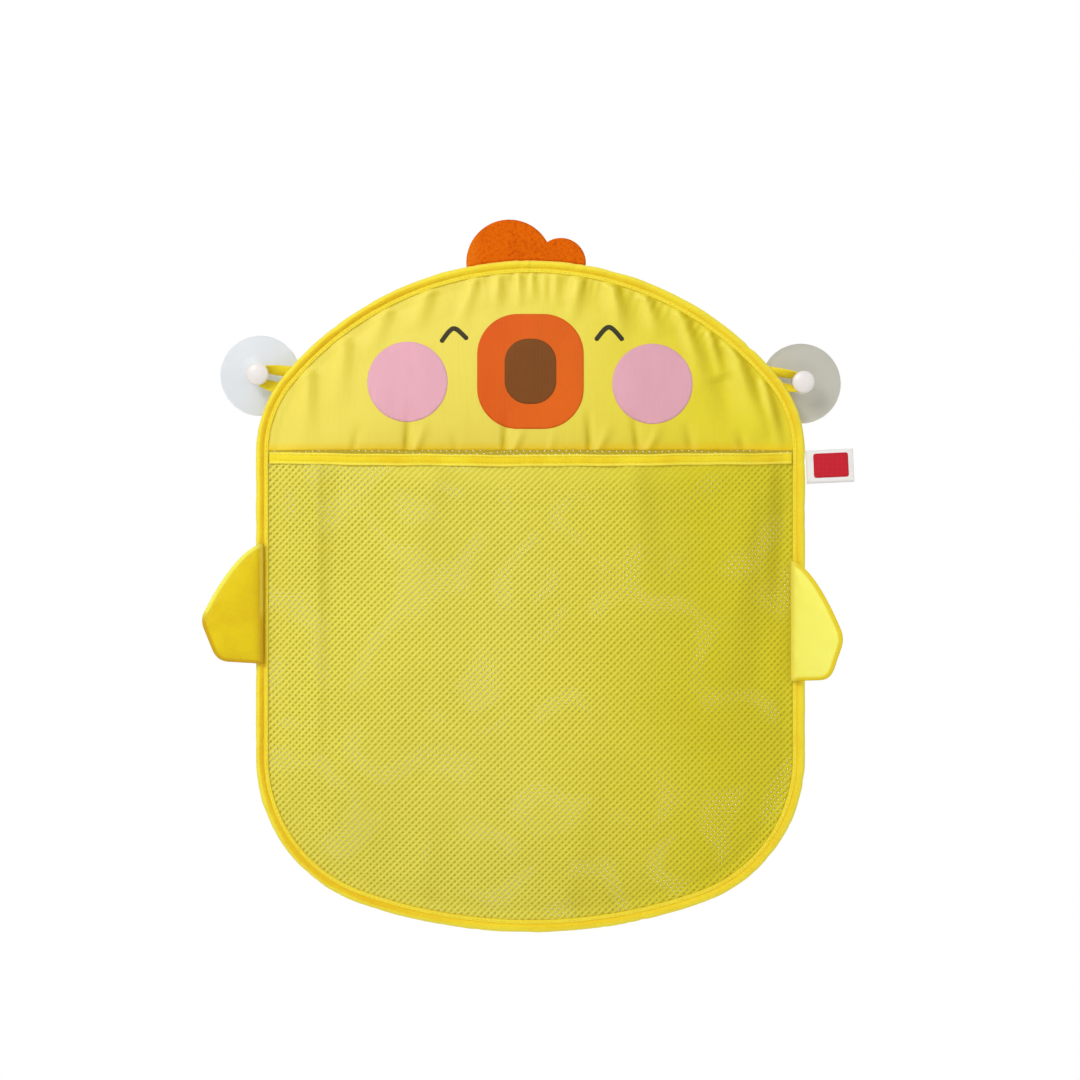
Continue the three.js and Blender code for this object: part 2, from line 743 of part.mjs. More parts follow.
function makeCup(side, direction) {
  const holder = new THREE.Group();
  holder.position.set(direction * cupSide, 0, -direction * cupStagger);
  organizer.add(holder);

  const lathe = (profile, segments) => {
    const points = profile.map(([r, forward]) => new THREE.Vector2(r, -forward));
    return new THREE.LatheGeometry(points, segments);
  };
  const bendRadius = hubRadius + (cupRadius - hubRadius) * discBendShare;
  const rimShare = 1 - discBendShare;
  const bendHeight = lipThickness + (cupFlare - lipThickness) * rimShare * discBendShare * 2;
  const cup = lathe(
    [
      [0, hubHeight - socketDepth],
      [socketRadius, hubHeight - socketDepth],
      [socketRadius, hubHeight],
      [hubRadius, hubHeight],
      [hubRadius, cupFlare],
      [bendRadius, bendHeight],
      [cupRadius, lipThickness],
      [cupRadius, 0],
      [cupRadius - lipWidth, 0],
      [bendRadius, cupCavity * rimShare],
      [0, cupCavity],
    ],
    26,
  );
  piece(side + "_suction_cup", cup, "cup", holder);

  const tail = socketRadius - clearance;
  const tailEnd = hubHeight - socketDepth + clearance;
  const seat = hubHeight + clearance;
  const headBack = seat + grooveHeight;
  const headFront = headBack + headRim;
  const pin = lathe(
    [
      [0, headFront + headDome],
      [headRadius / 2, headFront + headDome * shoulderShare],
      [headRadius, headFront],
      [headRadius, headBack],
      [neckRadius, headBack],
      [neckRadius, seat],
      [tail, seat],
      [tail, tailEnd],
      [0, tailEnd],
    ],
    18,
  );
  piece(side + "_cup_pin", pin, "pin", holder);
}

// A tape from the edge binding round the pin and back. Its ends lie flat against the edge, and it
// turns on edge where it passes the pin.
function makeLoop(side, direction) {
  const outward = new THREE.Vector2(direction * Math.cos(loopRoot), Math.sin(loopRoot));
  const along = new THREE.Vector2(-direction * Math.sin(loopRoot), Math.cos(loopRoot));
  const root = new THREE.Vector2(direction * loopSide, 0).addScaledVector(outward, loopGap);
  const neck = new THREE.Vector2(direction * cupSide, -direction * cupStagger);
  const bend = neckRadius + 2 * clearance + loopThickness / 2;
  const upper = root.clone().addScaledVector(along, loopSpread / 2);
  const lower = root.clone().addScaledVector(along, -loopSpread / 2);

  // Where the straight strands meet the round part, as angles about the pin
  const tangentAngle = (from, turn) => {
    const gap = from.clone().sub(neck);
    return Math.atan2(gap.y, gap.x) + turn * Math.acos(bend / gap.length());
  };
  const turn = -direction;
  const start = tangentAngle(upper, turn);
  const end = tangentAngle(lower, -turn);
  const full = 2 * Math.PI;
  const sweep = turn * ((((end - start) * turn) % full + full) % full);
  const onArc = (angle) => new THREE.Vector2(bend, 0).rotateAround(new THREE.Vector2(), angle).add(neck);

  const samples = [];
  const strandSteps = 5;
  const arcSteps = 12;
  for (let i = 0; i < strandSteps; i++) {
    samples.push({ at: upper.clone().lerp(onArc(start), i / strandSteps), flat: 1 - i / strandSteps });
  }
  for (let i = 0; i <= arcSteps; i++) {
    samples.push({ at: onArc(start + (sweep * i) / arcSteps), flat: 0 });
  }
  for (let i = 1; i <= strandSteps; i++) {
    samples.push({ at: onArc(end).lerp(lower, i / strandSteps), flat: i / strandSteps });
  }
  piece(side + "_hanging_loop", ribbon(samples, along), "tape");
}

// A tape through sample points in the middle plane, flat along the edge direction or on edge
function ribbon(samples, edge) {
  const deep = new THREE.Vector3(0, 1, 0);
  const edgeWays = new THREE.Vector3(edge.x, 0, edge.y);
  const corners = [[-1, -1], [-1, 1], [1, 1], [1, -1]];
  const rows = samples.map(({ at, flat }, i) => {
    const before = samples[Math.max(0, i - 1)].at;
    const after = samples[Math.min(samples.length - 1, i + 1)].at;
    const forward = new THREE.Vector3(after.x - before.x, 0, after.y - before.y).normalize();
    const across = Math.sign(forward.x * edge.y - forward.z * edge.x);
    const turn = (flat * Math.PI) / 2;
    const wide = deep.clone().multiplyScalar(Math.cos(turn));
    wide.addScaledVector(edgeWays, across * Math.sin(turn));
    const thick = forward.clone().cross(wide).normalize();
    return corners.map(([w, t]) =>
      new THREE.Vector3(at.x, middlePlane, at.y)
        .addScaledVector(wide, (w * loopWidth) / 2)
        .addScaledVector(thick, (t * loopThickness) / 2)
        .toArray(),
    );
  });
  return sweep(rows, corners, false);
}

makeBinding();
makeHoop();
makeBackNet();
makePocket();
makeFacePanel();
makeFacePatches();
makeComb();
makeWing("left", -1, leftWingTop, leftWingTilt, leftWingInset, bulbRadius);
makeWing("right", 1, rightWingTop, rightWingTilt, tapeWidth, tapeHalf);
makeLabel();
for (const [side, direction] of [["left", -1], ["right", 1]]) {
  makeCup(side, direction);
  makeLoop(side, direction);
}

export default organizer;
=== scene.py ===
"""A net bag for bath toys in the outline of a chick: its binding, nets, satin face, felt comb, stuffed
wings, label, loops and suction cups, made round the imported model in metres."""

import math
import random
from functools import partial

import bmesh
import bpy
import numpy as np
from bpy.props import FloatProperty, FloatVectorProperty, PointerProperty
from mathutils import Matrix, Vector


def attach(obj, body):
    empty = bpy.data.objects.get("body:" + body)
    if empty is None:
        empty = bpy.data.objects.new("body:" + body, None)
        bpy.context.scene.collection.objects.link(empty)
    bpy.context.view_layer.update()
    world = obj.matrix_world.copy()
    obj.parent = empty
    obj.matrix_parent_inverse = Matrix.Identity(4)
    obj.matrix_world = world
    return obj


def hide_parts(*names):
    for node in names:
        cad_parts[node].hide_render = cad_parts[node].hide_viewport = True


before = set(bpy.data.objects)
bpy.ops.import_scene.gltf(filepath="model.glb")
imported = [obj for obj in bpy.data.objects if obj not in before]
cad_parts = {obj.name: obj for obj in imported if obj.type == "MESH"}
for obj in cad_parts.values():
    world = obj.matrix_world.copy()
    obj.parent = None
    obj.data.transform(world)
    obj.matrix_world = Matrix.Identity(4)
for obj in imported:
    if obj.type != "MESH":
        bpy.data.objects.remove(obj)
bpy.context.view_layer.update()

bl_info = {
    "name": "Bath Toy Bag",
    "version": (1, 0, 0),
    "blender": (4, 5, 0),
    "location": "View3D > Sidebar > Toy Bag",
    "description": "Dresses the model of a hanging net bag for bath toys",
    "category": "Object",
}

MM = 0.001
TAU = 2 * math.pi

# The bag's outline and layers, in millimetres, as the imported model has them
WIDTH = 347.0
TOP = 74.7
BOTTOM = -349.8
MIDDLE = -11.0  # depth of the bag's middle plane
LAYER = 0.85  # from the middle plane to either cloth layer
SATIN = 0.45  # thickness of the satin
BINDING = 9.2  # from the outer edge to the binding's inner edge
SEAM_INSET = 6.65  # from the outer edge to the binding's row of stitches
PANEL_INSET = 5.8  # from the outer edge to where the panels end, inside the binding
HELD_INSET = 13.2  # where the binding lets the panels swell
CROWN_RADIUS, BOTTOM_RADIUS = 203.4, 328.0
SHOULDER_RADIUS, HIP_RADIUS = 76.0, 97.5
CROWN_CENTRE = TOP - CROWN_RADIUS
BOTTOM_CENTRE = BOTTOM + BOTTOM_RADIUS
SHOULDER_SIDE = WIDTH / 2 - SHOULDER_RADIUS
HIP_SIDE = WIDTH / 2 - HIP_RADIUS
SHOULDER_TURN = math.acos(SHOULDER_SIDE / (CROWN_RADIUS - SHOULDER_RADIUS))
HIP_TURN = math.acos(HIP_SIDE / (BOTTOM_RADIUS - HIP_RADIUS))
SHOULDER_CENTRE = CROWN_CENTRE + (CROWN_RADIUS - SHOULDER_RADIUS) * math.sin(SHOULDER_TURN)
HIP_CENTRE = BOTTOM_CENTRE - (BOTTOM_RADIUS - HIP_RADIUS) * math.sin(HIP_TURN)
SIDE_RUN = SHOULDER_CENTRE - HIP_CENTRE  # the straight part of either side

# Arcs of the right half from the bottom up: side, height, radius, first angle, last angle
LOWER_ARCS = (
    (0.0, BOTTOM_CENTRE, BOTTOM_RADIUS, -math.pi / 2, -HIP_TURN),
    (HIP_SIDE, HIP_CENTRE, HIP_RADIUS, -HIP_TURN, 0.0),
)
UPPER_ARCS = (
    (SHOULDER_SIDE, SHOULDER_CENTRE, SHOULDER_RADIUS, 0.0, SHOULDER_TURN),
    (0.0, CROWN_CENTRE, CROWN_RADIUS, SHOULDER_TURN, math.pi / 2),
)

# The pocket's mouth and the face panel's hem
MOUTH = -46.2
BAND_HEIGHT = 7.4
SAG = 2.6
BULGE, BULGE_SLOPE = 22.0, 112.0
HEM = -45.2
CROWNING, CROWNING_SLOPE = 6.0, 62.0
GATHER_DEPTH, GATHER_PITCH, GATHER_REACH = 1.6, 32.0, 19.0
PUCKER_DEPTH, PUCKER_PITCH, PUCKER_REACH = 0.34, 6.3, 4.5

# Folds of the pocket net: start, end, width and height, with a shallow crease as a negative height
NET_FOLDS = (
    ((139, -76), (112, -226), 13, 3.0), ((160, -92), (142, -216), 6, -1.0),
    ((-134, -52), (-134, -285), 3.0, 0.9), ((-120, -60), (-126, -250), 5, -0.6),
    ((63, -56), (72, -150), 9, 1.5), ((-60, -58), (-78, -140), 9, 0.8),
    ((150, -60), (150, -220), 4, 0.9), ((20, -330), (38, -250), 9, 0.8),
    ((-70, -325), (-60, -240), 9, 0.7),
)

# Folds of the face panel that hang from its top seam
SEAM_FOLDS = (
    ((-34.5, 67), (-46, 30), 3.4, 2.8), ((-65, 56), (-74, 28), 4.6, 3.0),
    ((-20, 68), (-22, 40), 2.9, 2.6), ((-7.5, 68), (-8, 43), 2.3, 2.2),
    ((0.4, 68), (1, 48), 1.7, 1.4), ((8.6, 68), (9, 45), 1.5, 1.4),
    ((15.6, 68), (15, 43), 2.5, 2.3), ((31, 66), (25, 34), 3.4, 3.2),
    ((50.5, 60), (58, 24), 4.2, 4.2), ((72, 52), (80, 24), 3.8, 3.7),
    ((94, 42), (110, -8), 3.8, 3.7), ((112.5, 29), (121, -4), 2.4, 2.2),
    ((127, 21), (146, -38), 4.2, 3.8), ((147, -4), (158, -46), 2.8, 2.8),
    ((-92, 42), (-104, 12), 5.0, 2.6), ((-141, 2), (-142, -44), 5.0, 3.2),
    ((-118, 22), (-122, -20), 5.0, 2.6), ((120, -2), (128, -38), 7.0, -2.4),
)

# Folds of the face panel that rise from its hem
HEM_FOLDS = (
    ((-78.2, -47), (-76.5, -18), 1.9, -2.3), ((-16.5, -47), (-15.5, -20), 1.9, -2.3),
    ((-73, -47), (-66, -26), 2.2, 1.4), ((-11.5, -47), (-4, -28), 2.2, 1.4),
    ((37.4, -47), (36, -18), 2.0, -2.2), ((67.6, -47), (64, -20), 2.0, -2.1),
    ((42, -47), (50, -28), 2.4, 1.4), ((73, -47), (82, -28), 2.4, 1.4),
    ((101, -47), (97, -26), 2.6, -1.6), ((-112, -47), (-108, -28), 2.2, -1.0),
    ((12, -47), (14, -32), 2.2, 0.9), ((-47, -47), (-49, -33), 2.2, -0.9),
    ((134, -47), (130, -30), 2.6, -1.4),
)

# The nets: two sets of flat strands, one laid just over the other
NET_EDGE = 0.9  # how much further in than the panels the nets end
CREST = 0.12  # how far a strand's middle stands forward of its edges
UNDER, OVER = 0.1, -0.1  # depths of the two sets
SLANTS = (45, -45)

# The cups, where the loops are sewn
CUP_SIDE, CUP_STAGGER = 171.96, 2.5
PIN_NECK = 3.5
LOOP_TURN = math.asin(-SHOULDER_CENTRE / SHOULDER_RADIUS)
LOOP_SIDE = SHOULDER_SIDE + SHOULDER_RADIUS * math.cos(LOOP_TURN)

# Colours of single places, as shares of light
WHITE = (1.0, 1.0, 1.0)
# Painted light: the right wing's satin, drawn paler than the left as the lit copy of the same cloth
LIT_WING = (1.0, 0.96, 0.17)
# Painted highlight on the left wing's turned upper edge
EDGE_HIGHLIGHT = (1.0, 0.95, 0.12)
WARM_BEAK = (0.72, 0.075, 0.006)
PIN_SHADE = (0.86, 0.78, 0.76)


# Sizes and colours that a user may change

def length(name, description, default):
    return FloatProperty(name=name, description=description, default=default * MM, unit="LENGTH")


def colour(name, description, red, green, blue):
    plain = tuple(linear(part) for part in (red, green, blue))
    return FloatVectorProperty(
        name=name, description=description, default=plain, subtype="COLOR", size=3, min=0, max=1
    )


def linear(part):
    """A screen colour's part, 0 to 255, as the share of light that it stands for."""
    part /= 255
    return part / 12.92 if part <= 0.04045 else ((part + 0.055) / 1.055) ** 2.4


class ToyBagSizes(bpy.types.PropertyGroup):
    net_mesh: length("Net mesh", "From one strand of the pocket's net to the next", 3.0)
    back_mesh: length("Back mesh", "From one strand of the back net to the next", 3.0)
    cloth_cell: length("Cloth cell", "Spacing of the points of the face cloth", 1.25)
    rim_step: length("Rim step", "Spacing of the points round the binding", 1.25)
    stitch_pitch: length("Stitch pitch", "From one stitch to the next", 2.9)
    stitch_length: length("Stitch length", "Length of one stitch", 2.1)
    thread: length("Thread", "Radius of the sewing thread", 0.22)
    cloth: length("Cloth", "Thickness of the satin", SATIN)
    print_rise: length("Print rise", "How far a print stands off the satin", 0.13)


class ToyBagColours(bpy.types.PropertyGroup):
    tape: colour("Tape", "Binding, band and loops", 250, 226, 48)
    # Painted light on the binding's outer side and flange and on the mouth band's edges; also the light
    # crests of the tape's weave
    tape_lit: colour("Tape light", "The binding's outer side", 255, 240, 92)
    tape_shade: colour("Tape shade", "The binding's ditch and folds", 236, 186, 12)
    hem_shade: colour("Hem shade", "The face panel's hem", 246, 208, 0)
    satin: colour("Satin", "Face panel", 243, 226, 92)
    # Painted shade: the deeper yellow of the face panel's side that turns from the light
    satin_side_shade: colour("Rich satin", "Right side of the face panel", 236, 220, 26)
    satin_shade: colour("Satin shade", "Folds of the face panel", 208, 188, 8)
    net: colour("Net", "Strands of the nets", 240, 230, 92)
    # Painted shade: the deeper yellow of the nets' side that turns from the light
    net_side_shade: colour("Rich net", "Right side of the nets", 226, 214, 20)
    net_shade: colour("Net shade", "Edges of the strands", 196, 182, 46)
    wing: colour("Wing", "Covers of the wings", 236, 205, 8)
    wing_shade: colour("Wing shade", "Seams of the wings", 205, 150, 4)
    felt: colour("Felt", "Comb", 235, 106, 8)
    felt_shade: colour("Felt shade", "Darker fibres of the comb", 200, 78, 4)
    # Lighter fibres of the felt, and painted light on the comb's left side
    felt_light: colour("Felt light", "Lighter fibres of the comb", 248, 132, 30)
    beak: colour("Beak", "Print of the beak", 234, 101, 20)
    mouth: colour("Mouth", "Print of the mouth", 123, 66, 26)
    cheek: colour("Cheek", "Print of the cheeks", 240, 178, 196)
    eye: colour("Eye", "Print of the eyes", 50, 48, 38)
    label: colour("Label", "Side label", 246, 243, 240)
    block: colour("Block", "Plain block printed on the label", 204, 14, 38)
    cup: colour("Cup", "Clear rubber of the left cup", 240, 244, 248)
    # Painted shade: the same clear rubber as the left cup, drawn dimmer for the right cup
    cup_in_shade: colour("Dim cup", "Clear rubber of the right cup", 208, 206, 194)
    pin: colour("Pin", "Pins of the cups", 240, 234, 230)
    steel: colour("Steel", "Hoop in the binding", 184, 188, 192)
    elastic: colour("Elastic", "Strap in the mouth band", 246, 244, 238)
    floor: colour("Floor", "Ground under the bag", 238, 238, 238)


# Outlines as measures of place

def rim_place(x, z):
    """How far places lie in from the outer edge, and how far round it they are from the bottom."""
    side = np.sign(np.where(x == 0, 1.0, x))
    x = np.abs(x)
    inset = np.full(np.shape(x), np.inf)
    along = np.zeros(np.shape(x))
    start = 0.0
    slack = 1e-6

    def nearer(gap, here, where):
        closer = where & (np.abs(gap) < np.abs(inset))
        return np.where(closer, gap, inset), np.where(closer, here, along)

    for arcs in (LOWER_ARCS, UPPER_ARCS):
        for centre, height, radius, first, last in arcs:
            turn = np.arctan2(z - height, x - centre)
            gap = radius - np.hypot(x - centre, z - height)
            within = (turn >= first - slack) & (turn <= last + slack)
            inset, along = nearer(gap, start + radius * (turn - first), within)
            start += radius * (last - first)
        if arcs is LOWER_ARCS:
            beside = (z > HIP_CENTRE) & (z < SHOULDER_CENTRE)
            inset, along = nearer(WIDTH / 2 - x, start + z - HIP_CENTRE, beside)
            start += SIDE_RUN
    return inset, side * along


def depth_in(x, z):
    return rim_place(x, z)[0]


HALF_ROUND = float(rim_place(np.array([0.0]), np.array([TOP - 1.0]))[1][0])


def walk_outline(inset, pitch):
    """Places about a pitch apart round the outline at an inset, each with the angle of the way out."""
    half = []
    stretches = LOWER_ARCS + (None,) + UPPER_ARCS
    runs = [SIDE_RUN if arc is None else (arc[2] - inset) * (arc[4] - arc[3]) for arc in stretches]
    total = sum(runs)
    count = round(total / pitch)
    for i in range(count):
        left = (i + 0.5) * total / count
        for run, arc in zip(runs, stretches):
            if left <= run:
                break
            left -= run
        if arc is None:
            half.append((WIDTH / 2 - inset, HIP_CENTRE + left, 0.0))
        else:
            centre, height, radius, first, _ = arc
            turn = first + left / (radius - inset)
            reach = radius - inset
            half.append((centre + reach * math.cos(turn), height + reach * math.sin(turn), turn))
    return half + [(-x, z, math.pi - turn) for x, z, turn in reversed(half)]


def disc(x, z, middle, radius):
    """How deep places lie inside a disc; below zero outside it."""
    return radius - np.hypot(x - middle[0], z - middle[1])


def rounded_box(x, z, middle, half, corner):
    """How deep places lie inside a box with round corners; below zero outside it."""
    over_x = np.abs(x - middle[0]) - half[0] + corner
    over_z = np.abs(z - middle[1]) - half[1] + corner
    outside = np.hypot(np.maximum(over_x, 0), np.maximum(over_z, 0))
    return corner - outside - np.minimum(np.maximum(over_x, over_z), 0)


def stroke(x, z, line, half):
    """How deep places lie inside a stroke drawn along a line of points; below zero outside it."""
    return half - np.min([np.hypot(x - a, z - b) for a, b in line], axis=0)


def loop_depth(loop, x, z):
    """How deep places lie inside a closed loop of points; below zero outside it."""
    nearest = np.full(np.shape(x), np.inf)
    within = np.zeros(np.shape(x), bool)
    for (ax, az), (bx, bz) in zip(loop, loop[1:] + loop[:1]):
        dx, dz = bx - ax, bz - az
        share = np.clip(((x - ax) * dx + (z - az) * dz) / (dx * dx + dz * dz), 0, 1)
        nearest = np.minimum(nearest, np.hypot(x - ax - share * dx, z - az - share * dz))
        crosses = (az > z) != (bz > z)
        if dz:
            within ^= crosses & (x < ax + dx * (z - az) / dz)
    return np.where(within, nearest, -nearest)


def slopes(field, x, z, small=0.01):
    """How fast a measure of place grows to the right and upwards."""
    to_x = (field(x + small, z) - field(x - small, z)) / (2 * small)
    to_z = (field(x, z + small) - field(x, z - small)) / (2 * small)
    return to_x, to_z


# Lines of points

def curve_points(pins, steps):
    """Points of a Bezier curve of any order, without its first."""
    pins = [np.array(pin, float) for pin in pins]
    out = []
    for i in range(1, steps + 1):
        layer = pins
        while len(layer) > 1:
            layer = [a + (b - a) * i / steps for a, b in zip(layer, layer[1:])]
        out.append(tuple(layer[0]))
    return out


def resample(line, pitch):
    """Points about a pitch apart along a line of points."""
    line = np.array(line, float)
    run = np.concatenate(([0], np.cumsum(np.linalg.norm(np.diff(line, axis=0), axis=1))))
    at = np.linspace(0, run[-1], max(2, round(run[-1] / pitch)))
    return list(zip(np.interp(at, run, line[:, 0]), np.interp(at, run, line[:, 1])))


def rounded(profile, radius, steps=4):
    """A line of [a, b] points with its inner corners rounded."""
    smooth = [profile[0]]
    for before, at, after in zip(profile, profile[1:], profile[2:]):
        at, before, after = (np.array(point, float) for point in (at, before, after))
        gap_in, gap_out = np.linalg.norm(before - at), np.linalg.norm(after - at)
        reach = min(radius, 0.45 * gap_in, 0.45 * gap_out)
        start = at + (before - at) / gap_in * reach
        end = at + (after - at) / gap_out * reach
        for i in range(steps + 1):
            share = i / steps
            smooth.append(tuple((1 - share) ** 2 * start + 2 * share * (1 - share) * at + share**2 * end))
    return smooth + [profile[-1]]


def mirrored(points):
    """The same points on the other side, in the opposite order."""
    return [(-side, height) for side, height in reversed(points)]


# Cloth surfaces: how far forward of the middle plane each lies

def swell(x, z, slope):
    """A rise from the binding inwards, steep at first, to 1 at a slope's length from it."""
    share = np.clip((depth_in(x, z) - HELD_INSET) / slope, 0, 1)
    return 1 - (1 - share) ** 2


def ridge(x, z, start, end, width, height, spread=0.4):
    """A soft fold from one place to another that fades out along its way."""
    run = np.hypot(end[0] - start[0], end[1] - start[1])
    to_x, to_z = (end[0] - start[0]) / run, (end[1] - start[1]) / run
    along = ((x - start[0]) * to_x + (z - start[1]) * to_z) / run
    across = (x - start[0]) * to_z - (z - start[1]) * to_x
    wide = width * (1 + spread * np.clip(along, 0, 1))
    fade = (1 - np.clip(along, 0, 1) ** 1.6) * np.clip(1 + along * 8, 0, 1)
    return height * np.exp(-((across / wide) ** 2)) * fade


def waves(x, z, seed, size, count=6):
    """A gentle unevenness made of a few seeded waves about one size, from -1 to 1."""
    rng = random.Random(seed)
    total = np.zeros(np.shape(x))
    for _ in range(count):
        turn, phase = rng.uniform(0, TAU), rng.uniform(0, TAU)
        long = size * rng.uniform(0.6, 1.7)
        total += np.sin(TAU * (x * math.cos(turn) + z * math.sin(turn)) / long + phase)
    return total / count


def pocket_forward(x, z):
    return BULGE * swell(x, np.minimum(z, MOUTH - BAND_HEIGHT - 2), BULGE_SLOPE)


def pocket_drop(x, z):
    """How far the pocket's mouth, and the net below it, sag in the middle."""
    across = 1 - (2 * x / WIDTH) ** 2
    below = np.clip(1 - (MOUTH - z) / BULGE_SLOPE, 0, 1)
    return SAG * np.maximum(0, across) * below


def net_folds(x, z):
    return sum(ridge(x, z, *fold) for fold in NET_FOLDS)


def pocket_depth(x, z):
    held = np.clip((depth_in(x, z) - 9) / 12, 0, 1) * np.clip((MOUTH - z - 4) / 12, 0, 1)
    loose = net_folds(x, z) + 0.5 * waves(x, z, seed=11, size=42) + 0.8
    return MIDDLE - LAYER - pocket_forward(x, z) - held * loose


def face_forward(x, z):
    """How far the face panel stands forward of its flat cut: a low crown, gathers, puckers and folds."""
    depth = depth_in(x, z) - BINDING - 0.3
    share = np.clip(depth / GATHER_REACH, 0, 1)
    turn = np.arctan2(x, z - CROWN_CENTRE)
    fold = (1 + np.cos(TAU * turn * CROWN_RADIUS / GATHER_PITCH)) / 2
    rows = np.sin(TAU * turn * CROWN_RADIUS / PUCKER_PITCH + 2.2 * np.sin(turn * 31))
    rows *= np.exp(-np.maximum(depth, 0) / PUCKER_REACH)
    puckers = PUCKER_DEPTH * rows * np.clip(z / 30, 0, 1) * np.clip((x + 62) / 40, 0, 1)
    held = np.clip((depth + 2.4) / 3.4, 0, 1)
    folds = sum(ridge(x, z, *line) for line in SEAM_FOLDS + HEM_FOLDS)
    gathers = 0.6 * GATHER_DEPTH * fold * 4 * share * (1 - share) * np.clip((x + 90) / 60, 0.25, 1)
    loose = folds + puckers + 0.35 * waves(x, z, seed=5, size=34)
    return CROWNING * swell(x, z, CROWNING_SLOPE) + gathers + held * loose


def face_depth(x, z):
    return MIDDLE - LAYER - SATIN - face_forward(x, z)


def hollow(x, z):
    """How far the face lies behind the cloth 3 mm to either side of it: above zero in a crease."""
    return (face_forward(x - 3, z) + face_forward(x + 3, z)) / 2 - face_forward(x, z)


def tilt(forward, x, z, step=1.5):
    """How steeply a cloth surface rises to the right; above zero it faces the light from the left."""
    return (forward(x + step, z) - forward(x - step, z)) / (2 * step)


def painted_side_shade(x, z):
    """Painted shade on the side of the bag that turns from the light: a deeper yellow, from 0 at the left to
    1.
    """
    return np.clip((x + 10) / 120 + 0.12 * waves(x, z, seed=17, size=95), 0, 1)


# Making meshes

def trimmed_grid(cell, low, high, inside, slant=0.0, snap=True):
    """A flat grid over a box of the wall plane, in millimetres, cut to where inside() is above zero.
    The points of its cut edge move onto the line where inside() is zero."""
    middle = ((low[0] + high[0]) / 2, (low[1] + high[1]) / 2)
    reach = [high[0] - low[0], high[1] - low[1]]
    if slant:
        reach = [math.hypot(*reach)] * 2
    bm = bmesh.new()
    cells = cell if isinstance(cell, tuple) else (cell, cell)
    counts = [2 * math.ceil(side / part / 2) for side, part in zip(reach, cells)]
    size = [count * part / 2 for count, part in zip(counts, cells)] if slant else [side / 2 for side in reach]
    place = (
        Matrix.Translation((middle[0], 0, middle[1]))
        @ Matrix.Rotation(math.pi / 2, 4, "X")
        @ Matrix.Rotation(slant, 4, "Z")
        @ Matrix.Diagonal((size[0], size[1], 1, 1))
    )
    bmesh.ops.create_grid(bm, x_segments=counts[0], y_segments=counts[1], size=1, matrix=place)
    centres = np.array([face.calc_center_median() for face in bm.faces])
    kept = inside(centres[:, 0], centres[:, 2]) > 0
    spare = [face for face, keep in zip(bm.faces, kept) if not keep]
    bmesh.ops.delete(bm, geom=spare, context="FACES")
    if not snap:
        return bm
    edge = [vert for vert in bm.verts if vert.is_boundary]
    at = np.array([vert.co for vert in edge])
    x, z = at[:, 0].copy(), at[:, 2].copy()
    for _ in range(3):
        gap = inside(x, z)
        to_x, to_z = slopes(inside, x, z)
        steep = np.maximum(to_x**2 + to_z**2, 0.25)
        x, z = x - gap * to_x / steep, z - gap * to_z / steep
    for vert, new_x, new_z in zip(edge, x, z):
        vert.co.x, vert.co.z = new_x, new_z
    return bm


def grow(bm, edges):
    """Extrudes a line of edges; gives the new points and the new line."""
    grown = bmesh.ops.extrude_edge_only(bm, edges=edges)["geom"]
    fresh = {part for part in grown if isinstance(part, bmesh.types.BMVert)}
    line = [
        part for part in grown
        if isinstance(part, bmesh.types.BMEdge) and part.verts[0] in fresh and part.verts[1] in fresh
    ]
    return fresh, line


def swept(rings):
    """A closed skin over rings of places, each ring extruded from the one before."""
    bm = bmesh.new()
    corner = bm.verts.layers.int.new("corner")
    first = [bm.verts.new(at) for at in rings[0]]
    for i, vert in enumerate(first):
        vert[corner] = i
    edges = [bm.edges.new((first[i - 1], first[i])) for i in range(len(first))]
    for ring in rings[1:]:
        fresh, edges = grow(bm, edges)
        for vert in fresh:
            vert.co = ring[vert[corner]]
    bm.faces.new(first)
    bm.faces.new(sorted(fresh, key=lambda vert: vert[corner]))
    bmesh.ops.recalc_face_normals(bm, faces=bm.faces)
    return bm


def spun(profile, steps):
    """A closed round piece: a profile of [radius, depth] points turned about the wall's normal."""
    bm = bmesh.new()
    line = [bm.verts.new((radius, depth, 0)) for radius, depth in profile]
    edges = [bm.edges.new(pair) for pair in zip(line, line[1:])]
    bmesh.ops.spin(
        bm, geom=line + edges, cent=(0, 0, 0), axis=(0, 1, 0), dvec=(0, 0, 0), angle=TAU,
        steps=steps, use_merge=True, use_duplicate=False,
    )
    bmesh.ops.remove_doubles(bm, verts=bm.verts, dist=1e-4)
    bmesh.ops.recalc_face_normals(bm, faces=bm.faces)
    return bm


def thread_stitches(places, size, radius):
    """One low stitch for each place: its middle, the way it runs and the way off the cloth."""
    bm = bmesh.new()
    bmesh.ops.create_uvsphere(
        bm, u_segments=6, v_segments=4, radius=1,
        matrix=Matrix.Diagonal((size / 2, radius, radius, 1)) @ Matrix.Rotation(math.pi / 2, 4, "Y"),
    )
    one = bpy.data.meshes.new("stitch")
    bm.to_mesh(one)
    bm.clear()
    for middle, run, off in places:
        run, off = Vector(run).normalized(), Vector(off).normalized()
        across = run.cross(off).normalized()
        off = across.cross(run)
        stitch = one.copy()
        stitch.transform(Matrix.Translation(middle) @ Matrix((run, across, off)).transposed().to_4x4())
        bm.from_mesh(stitch)
        bpy.data.meshes.remove(stitch)
    bpy.data.meshes.remove(one)
    bmesh.ops.recalc_face_normals(bm, faces=bm.faces)
    return bm


def stuffed(bm, depth_of, half):
    """Gives a flat sheet a back, and sets its two faces half() apart for their depth in the outline."""
    bmesh.ops.solidify(bm, geom=bm.faces[:], thickness=1.0)
    heights = [vert.co.y for vert in bm.verts]
    split = (min(heights) + max(heights)) / 2
    bmesh.ops.recalc_face_normals(bm, faces=bm.faces)

    def part(at):
        side = np.sign(at[:, 1] - split)
        new = at.copy()
        new[:, 1] = side * half(np.maximum(depth_of(at[:, 0], at[:, 2]), 0), at[:, 0], at[:, 2], side)
        return new

    return part


